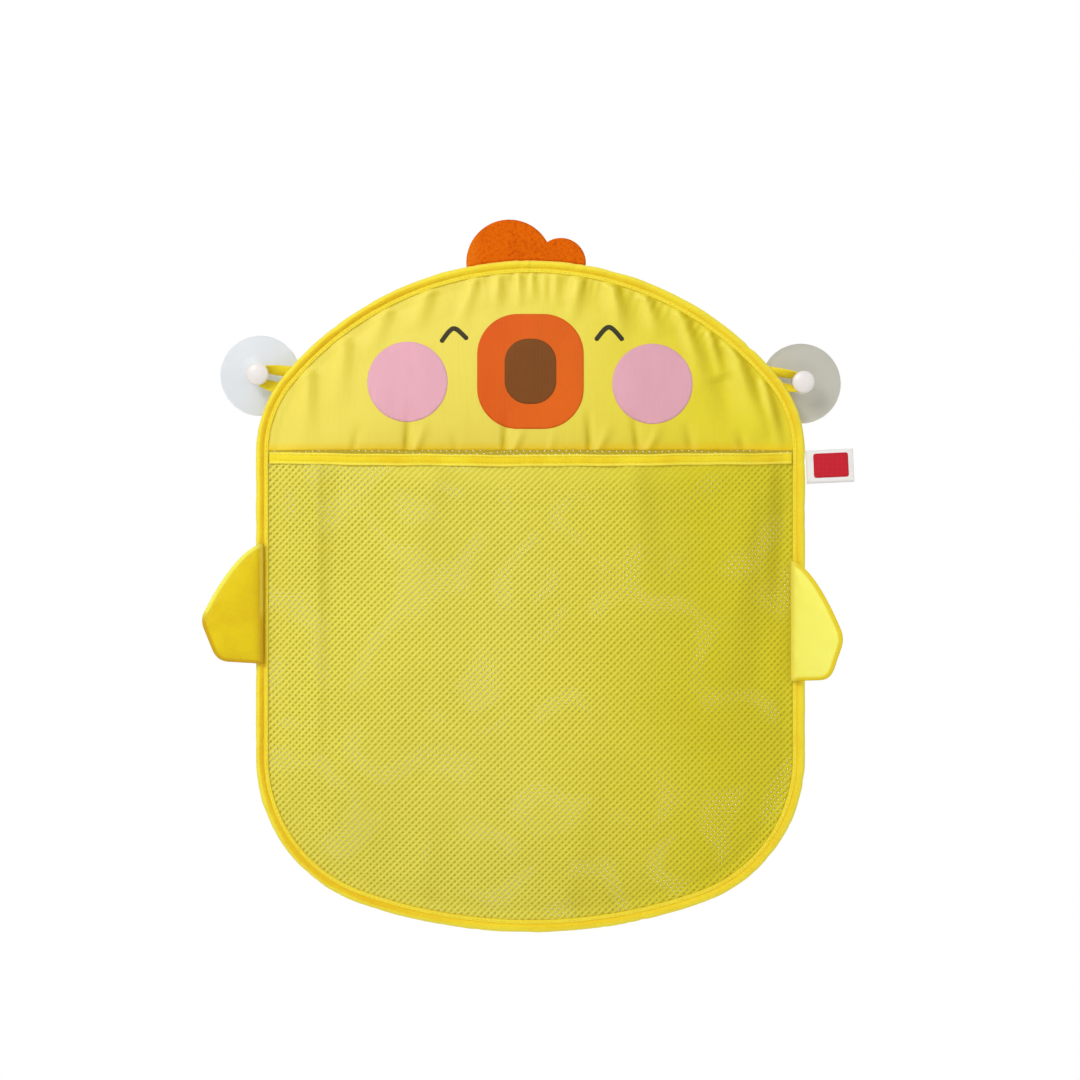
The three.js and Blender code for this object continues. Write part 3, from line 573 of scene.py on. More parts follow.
def put(name, bm, finish, body, slot, shape=None, smooth=True):
    """A bmesh in millimetres becomes a piece in metres: shape() moves its points first."""
    mesh = bpy.data.meshes.new(name)
    bm.to_mesh(mesh)
    bm.free()
    flat = np.empty(len(mesh.vertices) * 3)
    mesh.vertices.foreach_get("co", flat)
    at = flat.reshape(-1, 3)
    if shape:
        at = shape(at)
    mesh.vertices.foreach_set("co", (at * MM).ravel())
    if smooth:
        mesh.polygons.foreach_set("use_smooth", [True] * len(mesh.polygons))
    mesh.update()
    piece = bpy.data.objects.new(name, mesh)
    bpy.context.scene.collection.objects.link(piece)
    mesh.materials.append(finish)
    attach(piece, body)
    return piece


def sew(name, places, sizes, finish, body, slot):
    """Makes one piece of the stitches at some places, in the thread and the length that are set."""
    seam = thread_stitches(places, sizes.stitch_length / MM, sizes.thread / MM)
    put(name, seam, finish, body, slot)


def thicken(piece, thickness):
    """Gives a piece a wall behind its face, in metres."""
    wall = piece.modifiers.new("Thickness", "SOLIDIFY")
    wall.thickness = thickness
    wall.offset = -1.0
    wall.use_even_offset = False


def measure(piece, name, values):
    """Keeps a number for each point of a piece, for its finish to read."""
    stored = piece.data.attributes.new(name, "FLOAT", "POINT")
    stored.data.foreach_set("value", np.asarray(values, float))


def points_of(piece):
    flat = np.empty(len(piece.data.vertices) * 3)
    piece.data.vertices.foreach_get("co", flat)
    return flat.reshape(-1, 3) / MM


def strands(mesh, share, inside, low, high, slant):
    """Parallel strands over the places where inside() is above zero, each a share of the mesh wide."""
    quarter = mesh / 4
    bm = trimmed_grid((quarter, mesh), low, high, inside, slant, snap=False)
    to_x, to_z = math.cos(slant), math.sin(slant)
    middle = ((low[0] + high[0]) / 2, (low[1] + high[1]) / 2)

    def column(at):
        return ((at.x - middle[0]) * to_x + (at.z - middle[1]) * to_z) / quarter

    gaps = [face for face in bm.faces if math.floor(column(face.calc_center_median())) % 4 > 1]
    bmesh.ops.delete(bm, geom=gaps, context="FACES")
    wider = (share - 0.5) * mesh / 2
    for vert in bm.verts:
        place = round(column(vert.co)) % 4
        if place == 1:
            vert.co.y -= CREST
        else:
            move = wider if place == 2 else -wider
            vert.co.x += move * to_x
            vert.co.z += move * to_z
    return bm


def knitted(name, mesh, share, low, high, inside, lay, finish):
    """A net of two sets of strands, one laid just over the other."""
    net = bmesh.new()
    for rise, slant in zip((UNDER, OVER), SLANTS):
        bm = strands(mesh, share, inside, low, high, math.radians(slant))
        bmesh.ops.translate(bm, verts=bm.verts, vec=(0, rise, 0))
        layer = bpy.data.meshes.new("strands")
        bm.to_mesh(layer)
        bm.free()
        net.from_mesh(layer)
        bpy.data.meshes.remove(layer)
    kept = {}

    def lay_out(at):
        over = at[:, 1] < (UNDER - CREST + OVER) / 2
        edge = np.where(over, OVER, UNDER)
        kept["over"] = over
        kept["crest"] = np.clip((edge - at[:, 1]) / CREST, 0, 1)
        # Painted shade on the side that turns from the light
        kept["side_shade"] = painted_side_shade(at[:, 0], at[:, 2])
        return lay(at)

    piece = put(name, net, finish, "bag", "net", lay_out)
    for word, values in kept.items():
        measure(piece, word, values)
    return piece


# Finishes

class Level:
    """A socket's value; a sum or product with it adds the Math node that works it out."""

    def __init__(self, maker, socket):
        self.maker = maker
        self.socket = socket

    def math(self, operation, *values):
        return self.maker.add("ShaderNodeMath", {"operation": operation}, dict(enumerate(values)))

    def __add__(self, other):
        return self.math("ADD", self, other)

    __radd__ = __add__

    def __sub__(self, other):
        return self.math("SUBTRACT", self, other)

    def __rsub__(self, other):
        return self.math("SUBTRACT", other, self)

    def __mul__(self, other):
        return self.math("MULTIPLY", self, other)

    __rmul__ = __mul__

    def __truediv__(self, other):
        return self.math("DIVIDE", self, other)

    def __pow__(self, other):
        return self.math("POWER", self, other)

    def sine(self):
        return self.math("SINE", self)

    def size(self):
        return self.math("ABSOLUTE", self)

    def most(self, other):
        return self.math("MAXIMUM", self, other)

    def least(self, other):
        return self.math("MINIMUM", self, other)

    def clip(self):
        return self.most(0.0).least(1.0)


class NodeMaker:
    """Adds the nodes of one finish or of the world."""

    def __init__(self, tree):
        self.nodes, self.links = tree.nodes, tree.links
        self.nodes.clear()

    def give(self, socket, value):
        """Links a level to a socket, or sets the socket to a plain value."""
        if isinstance(value, Level):
            self.links.new(value.socket, socket)
        else:
            socket.default_value = value

    def add(self, kind, settings=None, values=None, output=0):
        """Adds a node with its settings, and then the values or levels of its sockets."""
        node = self.nodes.new(kind)
        for key, value in (settings or {}).items():
            setattr(node, key, value)
        for key, value in (values or {}).items():
            self.give(node.inputs[key], value)
        return Level(self, node.outputs[output])

    def seen(self):
        """1 on the rays that carry the backdrop: those of the camera, of gloss and through glass."""
        sockets = self.nodes.new("ShaderNodeLightPath").outputs
        names = ("Is Camera Ray", "Is Glossy Ray", "Is Transmission Ray")
        camera, gloss, glass = (Level(self, sockets[name]) for name in names)
        return camera.most(gloss).most(glass)


class Finish(NodeMaker):
    """A material built node by node round one Principled shader."""

    def __init__(self, name, **constants):
        self.material = bpy.data.materials.new(name)
        self.material.use_nodes = True
        super().__init__(self.material.node_tree)
        self.shader = self.nodes.new("ShaderNodeBsdfPrincipled")
        self.ending = self.nodes.new("ShaderNodeOutputMaterial")
        self.links.new(self.shader.outputs[0], self.ending.inputs[0])
        for socket, value in constants.items():
            self.shader.inputs[socket.replace("_", " ")].default_value = value

    @classmethod
    def fabric(cls, name, roughness, gloss=0.12):
        return cls(name, Roughness=roughness, Specular_IOR_Level=gloss)

    def axis(self, name):
        """A point's place along X, Y or Z, in metres."""
        where = self.add("ShaderNodeTexCoord", output="Object")
        return self.add("ShaderNodeSeparateXYZ", {}, {0: where}, name)

    def noise(self, scale, detail=2.0, rough=0.55, stretch=(1.0, 1.0, 1.0)):
        where = self.add("ShaderNodeTexCoord", output="Object")
        place = self.add("ShaderNodeMapping", {}, {"Vector": where, "Scale": stretch})
        values = {"Vector": place, "Scale": scale, "Detail": detail, "Roughness": rough}
        return self.add("ShaderNodeTexNoise", {}, values)

    def kept(self, name):
        """A number that measure() kept for each point; 0 on a piece that has none of that name."""
        return self.add("ShaderNodeAttribute", {"attribute_name": name}, output="Fac")

    def mix(self, share, first, second):
        return self.add("ShaderNodeMix", {"data_type": "RGBA"}, {0: share, 6: first, 7: second}, 2)

    def bump(self, height, strength, distance):
        values = {"Strength": strength, "Distance": distance, "Height": height}
        self.give(self.shader.inputs["Normal"], self.add("ShaderNodeBump", {}, values))

    def colour(self, value):
        self.give(self.shader.inputs["Base Color"], value)

    def roughness(self, value):
        self.give(self.shader.inputs["Roughness"], value)


def rgba(shade, brightness=1.0):
    return tuple(min(1.0, part * brightness) for part in shade) + (1.0,)


def band_mask(level, low, high, soft):
    """1 where a level lies between two bounds, soft at either side."""
    return ((level - low) / soft).clip() * ((high - level) / soft).clip()


def lines(level, pitch):
    """Threads side by side, from 0 in the gaps to 1 on the crests."""
    return (level * (TAU / pitch)).sine() * 0.5 + 0.5


def weave(first, second, pitch):
    """Over and under of two sets of threads, from 0 to 1."""
    turn = math.pi / pitch
    return ((first * turn).sine() * (second * turn).sine()).size()


def tape_finish(tints):
    """Satin tape: painted light on the tube's outer side and on the flange, and painted golden shade on its
    inner side, in the ditch beside it and at the flange's inner edge.
    """
    finish = Finish.fabric("binding_tape", 0.6)
    along, inset, tube_shade = finish.kept("along"), finish.kept("inset"), finish.kept("tube_shade")
    ribs = (along * (TAU / 1.1)).sine()
    threads = weave(along, inset, 0.9)
    soft = finish.noise(55, 3)
    shift = (soft - 0.5) * 1.6
    # Painted golden shade on the tube's inner side, in the ditch beside it and at the flange's inner edge
    tube = band_mask(inset + shift, 2.1, 5.75, 1.1)
    ditch = band_mask(inset, 4.7, 5.75, 0.4)
    edge = band_mask(inset, 7.5, 8.9, 0.35)
    row = band_mask(inset, SEAM_INSET - 0.2, SEAM_INSET + 0.2, 0.2)
    # Painted light on the tube's outer side and on the flange
    pale = ((2.6 - inset) / 2.0).clip() * 0.8 + band_mask(inset, 5.8, 7.4, 0.5) * 0.5
    tone = finish.mix(pale.clip(), rgba(tints.tape), rgba(tints.tape_lit))
    dark = (tube * tube_shade * 0.95 + ditch * 0.5 + edge * 0.4 + row * 0.28 + (soft - 0.5) * 0.8).clip()
    tone = finish.mix(dark, tone, rgba(tints.tape_shade))
    finish.colour(finish.mix(threads * 0.2, tone, rgba(tints.tape_lit, 1.1)))
    finish.roughness(0.58 + 0.12 * soft)
    finish.bump(threads * 0.6 + ribs * 0.2 + soft * 0.8, 0.4, 0.0003)
    return finish.material


def flat_tape_finish(name, tints, pitch, edged=False):
    """Satin tape; on the mouth band both edges get painted light, and a line of painted shade runs along its
    lowest edge.
    """
    finish = Finish.fabric(name, 0.6)
    threads = weave(finish.axis("X"), finish.axis("Z"), pitch)
    patches = finish.noise(30, 3)
    dark = ((patches - 0.4) * 3).clip() * (0.85 if edged else 0.3)
    ground = rgba(tints.tape)
    if edged:
        up = finish.kept("up")
        # Painted light on both edges of the band
        edges = ((up + 1.7) / 1.0).clip() + ((0 - up - 5.4) / 1.2).clip()
        ground = finish.mix((edges * 0.85).clip(), ground, rgba(tints.tape_lit))
        # A line of painted shade along the band's lowest edge
        dark = dark * (1 - edges * 0.75).clip() + ((0 - up - 7.1) / 0.3).clip() * 0.5
    tone = finish.mix(dark, ground, rgba(tints.tape_shade))
    finish.colour(finish.mix(threads * 0.25, tone, rgba(tints.tape, 1.2)))
    finish.bump(threads * 0.7 + patches * 0.8, 0.4, 0.0003)
    return finish.material


def satin_finish(tints):
    """Satin with upright threads, with painted shade in its creases, on slopes that turn from the light, to
    the right and just above its hem, and painted light on its ridges and on slopes that face the light.
    """
    finish = Finish.fabric("face_satin", 0.42, 0.3)
    x, z = finish.axis("X"), finish.axis("Z")
    threads = lines(x, 0.0009)
    picks = lines(z, 0.0014)
    cloud = finish.noise(16, 3)
    slubs = finish.noise(900, 2, 0.5, (1.0, 1.0, 0.04))
    crease, side_shade, tilted = finish.kept("crease"), finish.kept("side_shade"), finish.kept("tilt")
    # Painted shade: a deeper yellow on the side that turns from the light
    ground = finish.mix(side_shade * 0.85, rgba(tints.satin), rgba(tints.satin_side_shade))
    # Painted shade in creases and on slopes that turn from the light
    folds = (crease * 0.8).clip() * 0.6 + (tilted * -1.7).clip() * 0.75
    dark = folds * (0.72 + side_shade * 0.28) + ((cloud - 0.45) * 1.1).clip() * 0.25 + (slubs - 0.5).clip() * 0.35
    # Painted shade just above the hem, where the cloth curls back
    hem = ((HEM * MM + 0.0052 - z) / 0.0045).clip()
    tone = finish.mix((dark + (1 - threads) * 0.09).clip(), ground, rgba(tints.satin_shade))
    tone = finish.mix(hem * 0.75, tone, rgba(tints.hem_shade))
    # Painted light on ridges and on slopes that face the light
    light = (crease * -0.5).clip() * 0.4 + (tilted * 1.4).clip() * 0.6
    finish.colour(finish.mix(light.clip(), tone, rgba(tints.satin, 1.1)))
    finish.roughness(0.4 + 0.12 * threads)
    finish.bump(threads * 0.5 + picks * 0.3 + slubs * 0.5, 0.3, 0.0003)
    return finish.material


def print_finish(name, tint, tints, warm=None):
    """Ink pressed on the satin, with its threads showing through and painted shade towards the right and in
    broad soft patches; warm deepens its left side and top.
    """
    finish = Finish.fabric(name, 0.55, 0.15)
    x, z = finish.axis("X"), finish.axis("Z")
    threads = lines(x, 0.0009)
    streaks = finish.noise(1500, 2, 0.5, (1.0, 1.0, 0.03))
    cloud = finish.noise(38, 2, 0.5, (1.0, 1.0, 0.4))
    # Painted shade: prints to the right of the middle are darker, on the side that turns from the light
    ink = finish.mix(((x - 0.02) / 0.07).clip() * 0.5, rgba(tint), rgba(tint, 0.8))
    if warm is not None:
        side = ((0.004 - x) / 0.034).clip() * 0.7 + ((z - 0.016) / 0.024).clip() * 0.45
        ink = finish.mix((side + (cloud - 0.5) * 0.4).clip() * 0.8, ink, rgba(warm))
    # The fine streaks are the ink's own; the broad cloud is painted shade of soft folds
    rough = ((streaks - 0.42) * 1.6).clip() * 0.3 + ((cloud - 0.42) * 2.2).clip() * 0.5
    tone = finish.mix(rough.clip(), ink, rgba(tint, 0.74))
    through = tuple(0.7 * a + 0.3 * b for a, b in zip(tint, tints.satin))
    finish.colour(finish.mix(threads * 0.14, tone, rgba(through)))
    finish.roughness(0.5 + 0.15 * threads)
    finish.bump(threads * 0.5 + streaks * 0.3, 0.25, 0.0003)
    return finish.material


def net_finish(name, tints, brightness, glow=0.0):
    """Flat yarn: painted light along its middle and on the upper set of strands, painted shade at its edges,
    where a fold turns it from the light and on the side that turns from it. Its glow is painted light that
    stands for the light that comes through thin yarn."""
    finish = Finish.fabric(name, 0.6)
    # Painted light: a glow for the light that comes through thin yarn
    finish.give(finish.shader.inputs["Emission Color"], rgba(tints.net))
    finish.give(finish.shader.inputs["Emission Strength"], glow)
    x, z = finish.axis("X"), finish.axis("Z")
    twist = ((x + z) * (TAU / 0.0009)).sine() * ((x - z) * (TAU / 0.0009)).sine()
    cloud = finish.noise(14, 3)
    crest, over = finish.kept("crest"), finish.kept("over")
    side_shade, turned = finish.kept("side_shade"), finish.kept("turned")
    # Painted shade: a deeper yellow on the side that turns from the light
    ground = finish.mix(side_shade * 0.85, rgba(tints.net, brightness), rgba(tints.net_side_shade, brightness))
    # Random cloud, and painted shade at the strands' edges, on the lower set and where a fold turns the net
    # from the light
    dark = ((cloud - 0.42) * 1.6).clip() * 0.25 + (1 - crest) * 0.36 + (1 - over) * 0.24 + turned * 0.3
    shade = finish.mix(side_shade * 0.6, rgba(tints.net_shade), rgba(tints.satin_shade, 0.9))
    tone = finish.mix(dark.clip(), ground, shade)
    finish.colour(finish.mix(twist.clip() * 0.2, tone, rgba(tints.net, 1.15 * brightness)))
    finish.bump(twist * 0.5, 0.3, 0.0002)
    return finish.material


def wing_finish(name, tints, pale):
    """Satin with a painted highlight on its turned edge above, painted golden shade on the one below and
    painted shade at its root; the pale wing is the lit copy, painted lighter, with painted golden shade
    on its edge all round and at its root."""
    finish = Finish.fabric(name, 0.5, 0.2)
    out, down, rim, upper = (finish.kept(word) for word in ("out", "down", "rim", "upper"))
    threads = weave(out, down, 1.25)
    cloud = finish.noise(45, 3)
    root = ((8.5 - out) / 8.0).clip()
    edge = ((3.0 - rim) / 1.4).clip()
    # The pale wing is the lit copy of the same satin: its lighter ground is painted light
    if pale:
        ground = finish.mix((cloud - 0.45).clip() * 0.6, rgba(LIT_WING), rgba(tints.tape))
        # Painted golden shade on its rounded edge all round
        tone = finish.mix((edge * 0.9 * (out / 6.0).clip()).clip(), ground, rgba(tints.wing))
        # Painted shade in the crease at its root
        tone = finish.mix(root ** 3 * 0.35, tone, rgba(tints.wing_shade))
    else:
        ground = finish.mix((cloud - 0.42).clip() * 1.2, rgba(tints.wing), rgba(tints.wing_shade))
        # Painted highlight on the turned upper edge
        tone = finish.mix((edge * upper * 0.9).clip(), ground, rgba(EDGE_HIGHLIGHT))
        # Painted golden shade on the lower edge
        tone = finish.mix((edge * (1 - upper) * 0.75).clip(), tone, rgba(tints.wing_shade))
        # Painted shade in the crease at the root
        tone = finish.mix((root ** 2 * 0.85).clip(), tone, rgba(tints.wing_shade, 0.8))
    finish.colour(finish.mix(threads * 0.16, tone, rgba(tints.tape, 1.3)))
    finish.bump(threads * 0.6 + cloud * 0.8, 0.4, 0.0003)
    return finish.material


def felt_finish(tints):
    """Mottled felt: short curled fibres, some darker and some lighter than the rest, and painted light at
    the left."""
    finish = Finish.fabric("comb_felt", 0.95, 0.03)
    fibres = finish.noise(1100, 4, 0.75)
    curls = finish.noise(480, 3, 0.6)
    mottle = finish.noise(120, 3)
    dark = ((curls - 0.46) * 4).clip() * 0.7 + ((mottle - 0.46) * 3).clip() * 0.45
    # The lighter fibres, and painted light on the comb's left side
    light = ((fibres - 0.52) * 5).clip() * 0.5 + ((-0.03 - finish.axis("X")) / 0.009).clip() * 0.45
    tone = finish.mix(dark.clip(), rgba(tints.felt), rgba(tints.felt_shade))
    finish.colour(finish.mix(light.clip(), tone, rgba(tints.felt_light)))
    finish.bump(curls + fibres * 0.7 + mottle * 0.3, 0.8, 0.0006)
    return finish.material


def label_finish(tints):
    finish = Finish.fabric("label_tape", 0.55)
    threads = weave(finish.axis("X"), finish.axis("Z"), 0.0007)
    cloud = finish.noise(120, 2)
    tone = finish.mix((cloud - 0.45).clip() * 0.5, rgba(tints.label), rgba(tints.label, 0.78))
    finish.colour(finish.mix(threads * 0.15, tone, rgba(tints.label, 0.85)))
    finish.bump(threads, 0.3, 0.0002)
    return finish.material


def block_finish(tints):
    finish = Finish.fabric("label_block", 0.5, 0.1)
    threads = weave(finish.axis("X"), finish.axis("Z"), 0.0008)
    cloud = finish.noise(300, 3)
    tone = finish.mix((cloud - 0.4).clip() * 0.7, rgba(tints.block), rgba(tints.block, 0.72))
    finish.colour(finish.mix(threads * 0.04, tone, rgba(tints.label)))
    finish.bump(threads + cloud * 0.5, 0.3, 0.0002)
    return finish.material


def rubber_finish(name, shade):
    """Clear rubber that is a little milky, as soft cups are."""
    finish = Finish(name, Roughness=0.34, IOR=1.42, Transmission_Weight=0.4, Specular_IOR_Level=0.3)
    cloud = finish.noise(22, 2)
    finish.colour(finish.mix((cloud - 0.35).clip() * 0.5, rgba(shade), rgba(shade, 0.92)))
    finish.roughness(0.3 + 0.12 * cloud)
    finish.bump(finish.noise(160, 1), 0.03, 0.0003)
    return finish.material


def pin_finish(tints):
    finish = Finish("pin_plastic", Roughness=0.35, Subsurface_Weight=0.1, Subsurface_Scale=0.002)
    cloud = finish.noise(160, 3)
    finish.colour(finish.mix((cloud - 0.4).clip() * 0.5, rgba(tints.pin), rgba(PIN_SHADE)))
    finish.roughness(0.28 + 0.15 * cloud)
    finish.bump(finish.noise(700, 2), 0.06, 0.0002)
    return finish.material


def steel_finish(tints):
    finish = Finish("hoop_steel", Metallic=1.0, Roughness=0.32)
    drawn = finish.noise(900, 3, 0.6, (0.15, 1.0, 0.15))
    finish.colour(finish.mix(drawn, rgba(tints.steel), rgba(tints.steel, 0.8)))
    finish.roughness(0.25 + 0.2 * drawn)
    finish.bump(drawn, 0.1, 0.0001)
    return finish.material


def elastic_finish(tints):
    finish = Finish.fabric("strap_elastic", 0.8)
    cords = lines(finish.axis("Z"), 0.0006)
    finish.colour(finish.mix(cords * 0.3, rgba(tints.elastic), rgba(tints.elastic, 0.7)))
    finish.bump(cords, 0.5, 0.0003)
    return finish.material


def thread_finish(name, shade):
    finish = Finish.fabric(name, 0.6)
    ply = finish.noise(2200, 2)
    finish.colour(finish.mix(ply, rgba(shade), rgba(shade, 0.7)))
    finish.bump(ply, 0.3, 0.0001)
    return finish.material


# Pieces

class MakeBinding(bpy.types.Operator):
    """Make the puffed edge binding, its flange and its stitches"""
    bl_idname = "toy_bag.binding"
    bl_label = "Edge binding"

    # The section: how far in from the outer edge, and how far forward of the middle plane
    front = (
        (7.9, 1.45), (8.0, 1.75), (7.85, 2.1), (7.45, 2.3), (7.05, 2.26), (6.65, 2.1), (6.25, 2.28),
        (5.9, 2.26), (5.55, 2.0), (5.25, 1.76), (5.0, 1.85), (4.65, 2.36), (4.05, 2.88), (3.2, 3.18),
        (2.3, 3.08), (1.45, 2.7), (0.75, 2.05), (0.28, 1.25), (0.04, 0.42),
    )
    inner = (
        (0.75, 0.5), (1.2, 1.4), (2.2, 2.2), (3.4, 2.25), (4.3, 1.55), (5.2, 1.22), (6.6, 1.4), (7.8, 1.35),
    )
    stitch_rise = 2.16
    puckers, pucker_seed = 210, 7

    def execute(self, context):
        sizes, tints = context.scene.toy_bag_sizes, context.scene.toy_bag_colours
        outer = list(self.front) + [(inset, -rise) for inset, rise in reversed(self.front)]
        inside = [(inset, -rise) for inset, rise in reversed(self.inner)] + list(self.inner)
        section = outer + inside
        bm = bmesh.new()
        last = [bm.verts.new((0, MIDDLE - rise, BOTTOM + inset)) for inset, rise in section]
        last += [bm.edges.new((last[i - 1], last[i])) for i in range(len(section))]
        step = sizes.rim_step / MM

        def carry(last, centre, angle, steps, move=0.0):
            """Extends the skin along an arc, or straight up by a move for each step."""
            return bmesh.ops.spin(
                bm, geom=last, cent=centre, axis=(0, -1, 0), dvec=(0, 0, move), angle=angle,
                steps=steps, use_merge=False, use_duplicate=False,
            )["geom_last"]

        for arcs in (LOWER_ARCS, UPPER_ARCS):
            for side, height, radius, first, end in arcs:
                steps = math.ceil(radius * (end - first) / step)
                last = carry(last, (side, 0, height), end - first, steps)
            if arcs is LOWER_ARCS:
                steps = math.ceil(SIDE_RUN / step)
                last = carry(last, (0, 0, 0), 0, steps, SIDE_RUN / steps)
        bmesh.ops.mirror(bm, geom=bm.verts[:] + bm.edges[:] + bm.faces[:], merge_dist=0.01, axis="X")
        bmesh.ops.remove_doubles(bm, verts=bm.verts, dist=0.005)
        bmesh.ops.recalc_face_normals(bm, faces=bm.faces)
        rim = put("rim_binding_cover", bm, tape_finish(tints), "bag", "tape", self.pucker)
        at = points_of(rim)
        inset, along = rim_place(at[:, 0], at[:, 2])
        measure(rim, "along", along)
        measure(rim, "inset", inset)
        # Painted golden shade on the tube's inner side, stronger on the left of the bag
        measure(rim, "tube_shade", 0.3 + 0.45 * np.clip((-at[:, 0] - 20) / 80, 0, 1) + 0.12 * np.sin(along / 23))
        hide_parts("rim_binding")

        places = []
        for x, z, turn in walk_outline(SEAM_INSET, sizes.stitch_pitch / MM):
            run = (-math.sin(turn), 0, math.cos(turn))
            for face in (-1, 1):
                places.append(((x, MIDDLE + face * self.stitch_rise, z), run, (0, face, 0)))
        sew("rim_stitches", places, sizes, thread_finish("rim_thread", tints.tape), "bag", "tape")
        return {"FINISHED"}

    def pucker(self, at):
        """Uneven stuffing of the tube, and small puckers where the tape was eased round the hoop."""
        inset, along = rim_place(at[:, 0], at[:, 2])
        rise = MIDDLE - at[:, 1]
        rng = random.Random(self.pucker_seed)
        tube = np.clip((5.4 - inset) / 1.5, 0, 1)
        move = 0.16 * np.sin(along / 9.0 + 2 * np.sin(along / 31)) + 0.1 * np.sin(along / 3.7)
        for _ in range(self.puckers):
            centre = rng.uniform(-HALF_ROUND, HALF_ROUND)
            wide, deep = rng.uniform(0.7, 2.4), rng.uniform(-0.55, 0.16)
            lean = rng.uniform(-0.5, 0.5)
            if centre < 0:
                deep *= 0.6
            move += deep * np.exp(-(((along - centre + lean * inset) / wide) ** 2))
        skin = np.clip((np.hypot(inset - 2.6, rise) - 2.25) / 0.6, 0, 1)
        away = np.hypot(inset - 2.8, rise) + 1e-6
        share = tube * skin * move
        new = at.copy()
        to_x, to_z = slopes(depth_in, at[:, 0], at[:, 2])
        out = (inset - 2.8) / away * share
        flange = (1 - tube) * np.sign(rise) * 0.08 * np.sin(along / 2.3 + inset)
        new[:, 0] += to_x * out
        new[:, 2] += to_z * out
        new[:, 1] -= rise / away * share + flange
        return new


class MakeFacePanel(bpy.types.Operator):
    """Make the gathered satin face panel with its hem"""
    bl_idname = "toy_bag.face_panel"
    bl_label = "Face panel"

    # The hem's turn: how far back and how far up from its fold each line lies
    hem_turn = ((0.12, -0.22), (0.5, -0.34), (0.95, -0.22), (1.2, 0.1), (1.25, 2.2), (1.25, 4.4), (1.2, 6.6))

    def execute(self, context):
        sizes, tints = context.scene.toy_bag_sizes, context.scene.toy_bag_colours

        def inside(x, z):
            return np.minimum(depth_in(x, z) - PANEL_INSET, z - HEM)

        reach = WIDTH / 2 - PANEL_INSET
        bm = trimmed_grid(sizes.cloth_cell / MM, (-reach, HEM), (reach, TOP - PANEL_INSET), inside)
        edges = [
            edge for edge in bm.edges
            if edge.is_boundary and all(abs(vert.co.z - HEM) < 0.05 for vert in edge.verts)
        ]
        for back, up in self.hem_turn:
            fresh, edges = grow(bm, edges)
            for vert in fresh:
                vert.co.y = back
                vert.co.z = HEM + up

        def lay(at):
            new = at.copy()
            new[:, 1] = face_depth(at[:, 0], np.maximum(at[:, 2], HEM)) + at[:, 1]
            return new

        panel = put("face_cloth", bm, satin_finish(tints), "bag", "cloth", lay)
        at = points_of(panel)
        x, z = at[:, 0], np.maximum(at[:, 2], HEM)
        # Measures for the satin's painted shade and painted light: creases, the side that turns from the
        # light, and slopes
        measure(panel, "crease", hollow(x, z))
        measure(panel, "side_shade", painted_side_shade(x, at[:, 2]))
        measure(panel, "tilt", tilt(face_forward, x, z))
        thicken(panel, sizes.cloth)
        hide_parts("face_panel")
        return {"FINISHED"}


class MakePrints(bpy.types.Operator):
    """Make the pressed prints of the beak, mouth, cheeks and eyes"""
    bl_idname = "toy_bag.prints"
    bl_label = "Face prints"

    face_middle = (0, 4.1)
    beak_half, beak_corner = (33.5, 36.25), 25.5
    mouth_half, mouth_corner = (16.2, 20.5), 14.5
    left_cheek, right_cheek, cheek_radius = (-77.4, -2.4), (76.7, -3.7), 25.3
    # Each eye's left end, peak and right end
    left_eye = ((-55.6, 23.6), (-48.6, 33.4), (-40.6, 25.3))
    right_eye = ((41.8, 24.7), (49.2, 34.4), (57.4, 24.7))
    left_eye_middle, right_eye_middle = (-48.9, 28.6), (48.9, 28.6)
    eye_stroke = 1.5
    ink = 0.08

    def execute(self, context):
        sizes, tints = context.scene.toy_bag_sizes, context.scene.toy_bag_colours
        rise = sizes.print_rise / MM

        def box(half, corner):
            return partial(rounded_box, middle=self.face_middle, half=half, corner=corner)

        def bent(first, peak, last):
            line = [first] + curve_points([first, peak, peak, last], 24)
            return partial(stroke, line=line, half=self.eye_stroke)

        def round_spot(middle):
            return partial(disc, middle=middle, radius=self.cheek_radius)

        # For each print: its layer on the cloth, its middle, its reach, its cell and its outline
        prints = {
            "beak": (1, self.face_middle, 36, 1.2, box(self.beak_half, self.beak_corner)),
            "mouth": (2, self.face_middle, 20, 0.9, box(self.mouth_half, self.mouth_corner)),
            "left_cheek": (1, self.left_cheek, 25.5, 1.2, round_spot(self.left_cheek)),
            "right_cheek": (1, self.right_cheek, 25.5, 1.2, round_spot(self.right_cheek)),
            "left_eye": (1, self.left_eye_middle, 10, 0.4, bent(*self.left_eye)),
            "right_eye": (1, self.right_eye_middle, 10, 0.4, bent(*self.right_eye)),
        }
        inks = {
            "beak": print_finish("beak_ink", tints.beak, tints, WARM_BEAK),
            "mouth": print_finish("mouth_ink", tints.mouth, tints),
            "cheek": print_finish("cheek_ink", tints.cheek, tints),
            "eye": print_finish("eye_ink", tints.eye, tints),
        }
        for name, (layer, middle, reach, cell, inside) in prints.items():
            low = (middle[0] - reach, middle[1] - reach)
            high = (middle[0] + reach, middle[1] + reach)
            bm = trimmed_grid(cell, low, high, inside)

            def press(at, layer=layer):
                new = at.copy()
                new[:, 1] = face_depth(at[:, 0], at[:, 2]) - layer * rise
                return new

            slot = name.split("_")[-1]
            ink = put(name + "_print", bm, inks[slot], "bag", slot, press)
            thicken(ink, self.ink * MM)
            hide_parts(name + "_patch")
        return {"FINISHED"}


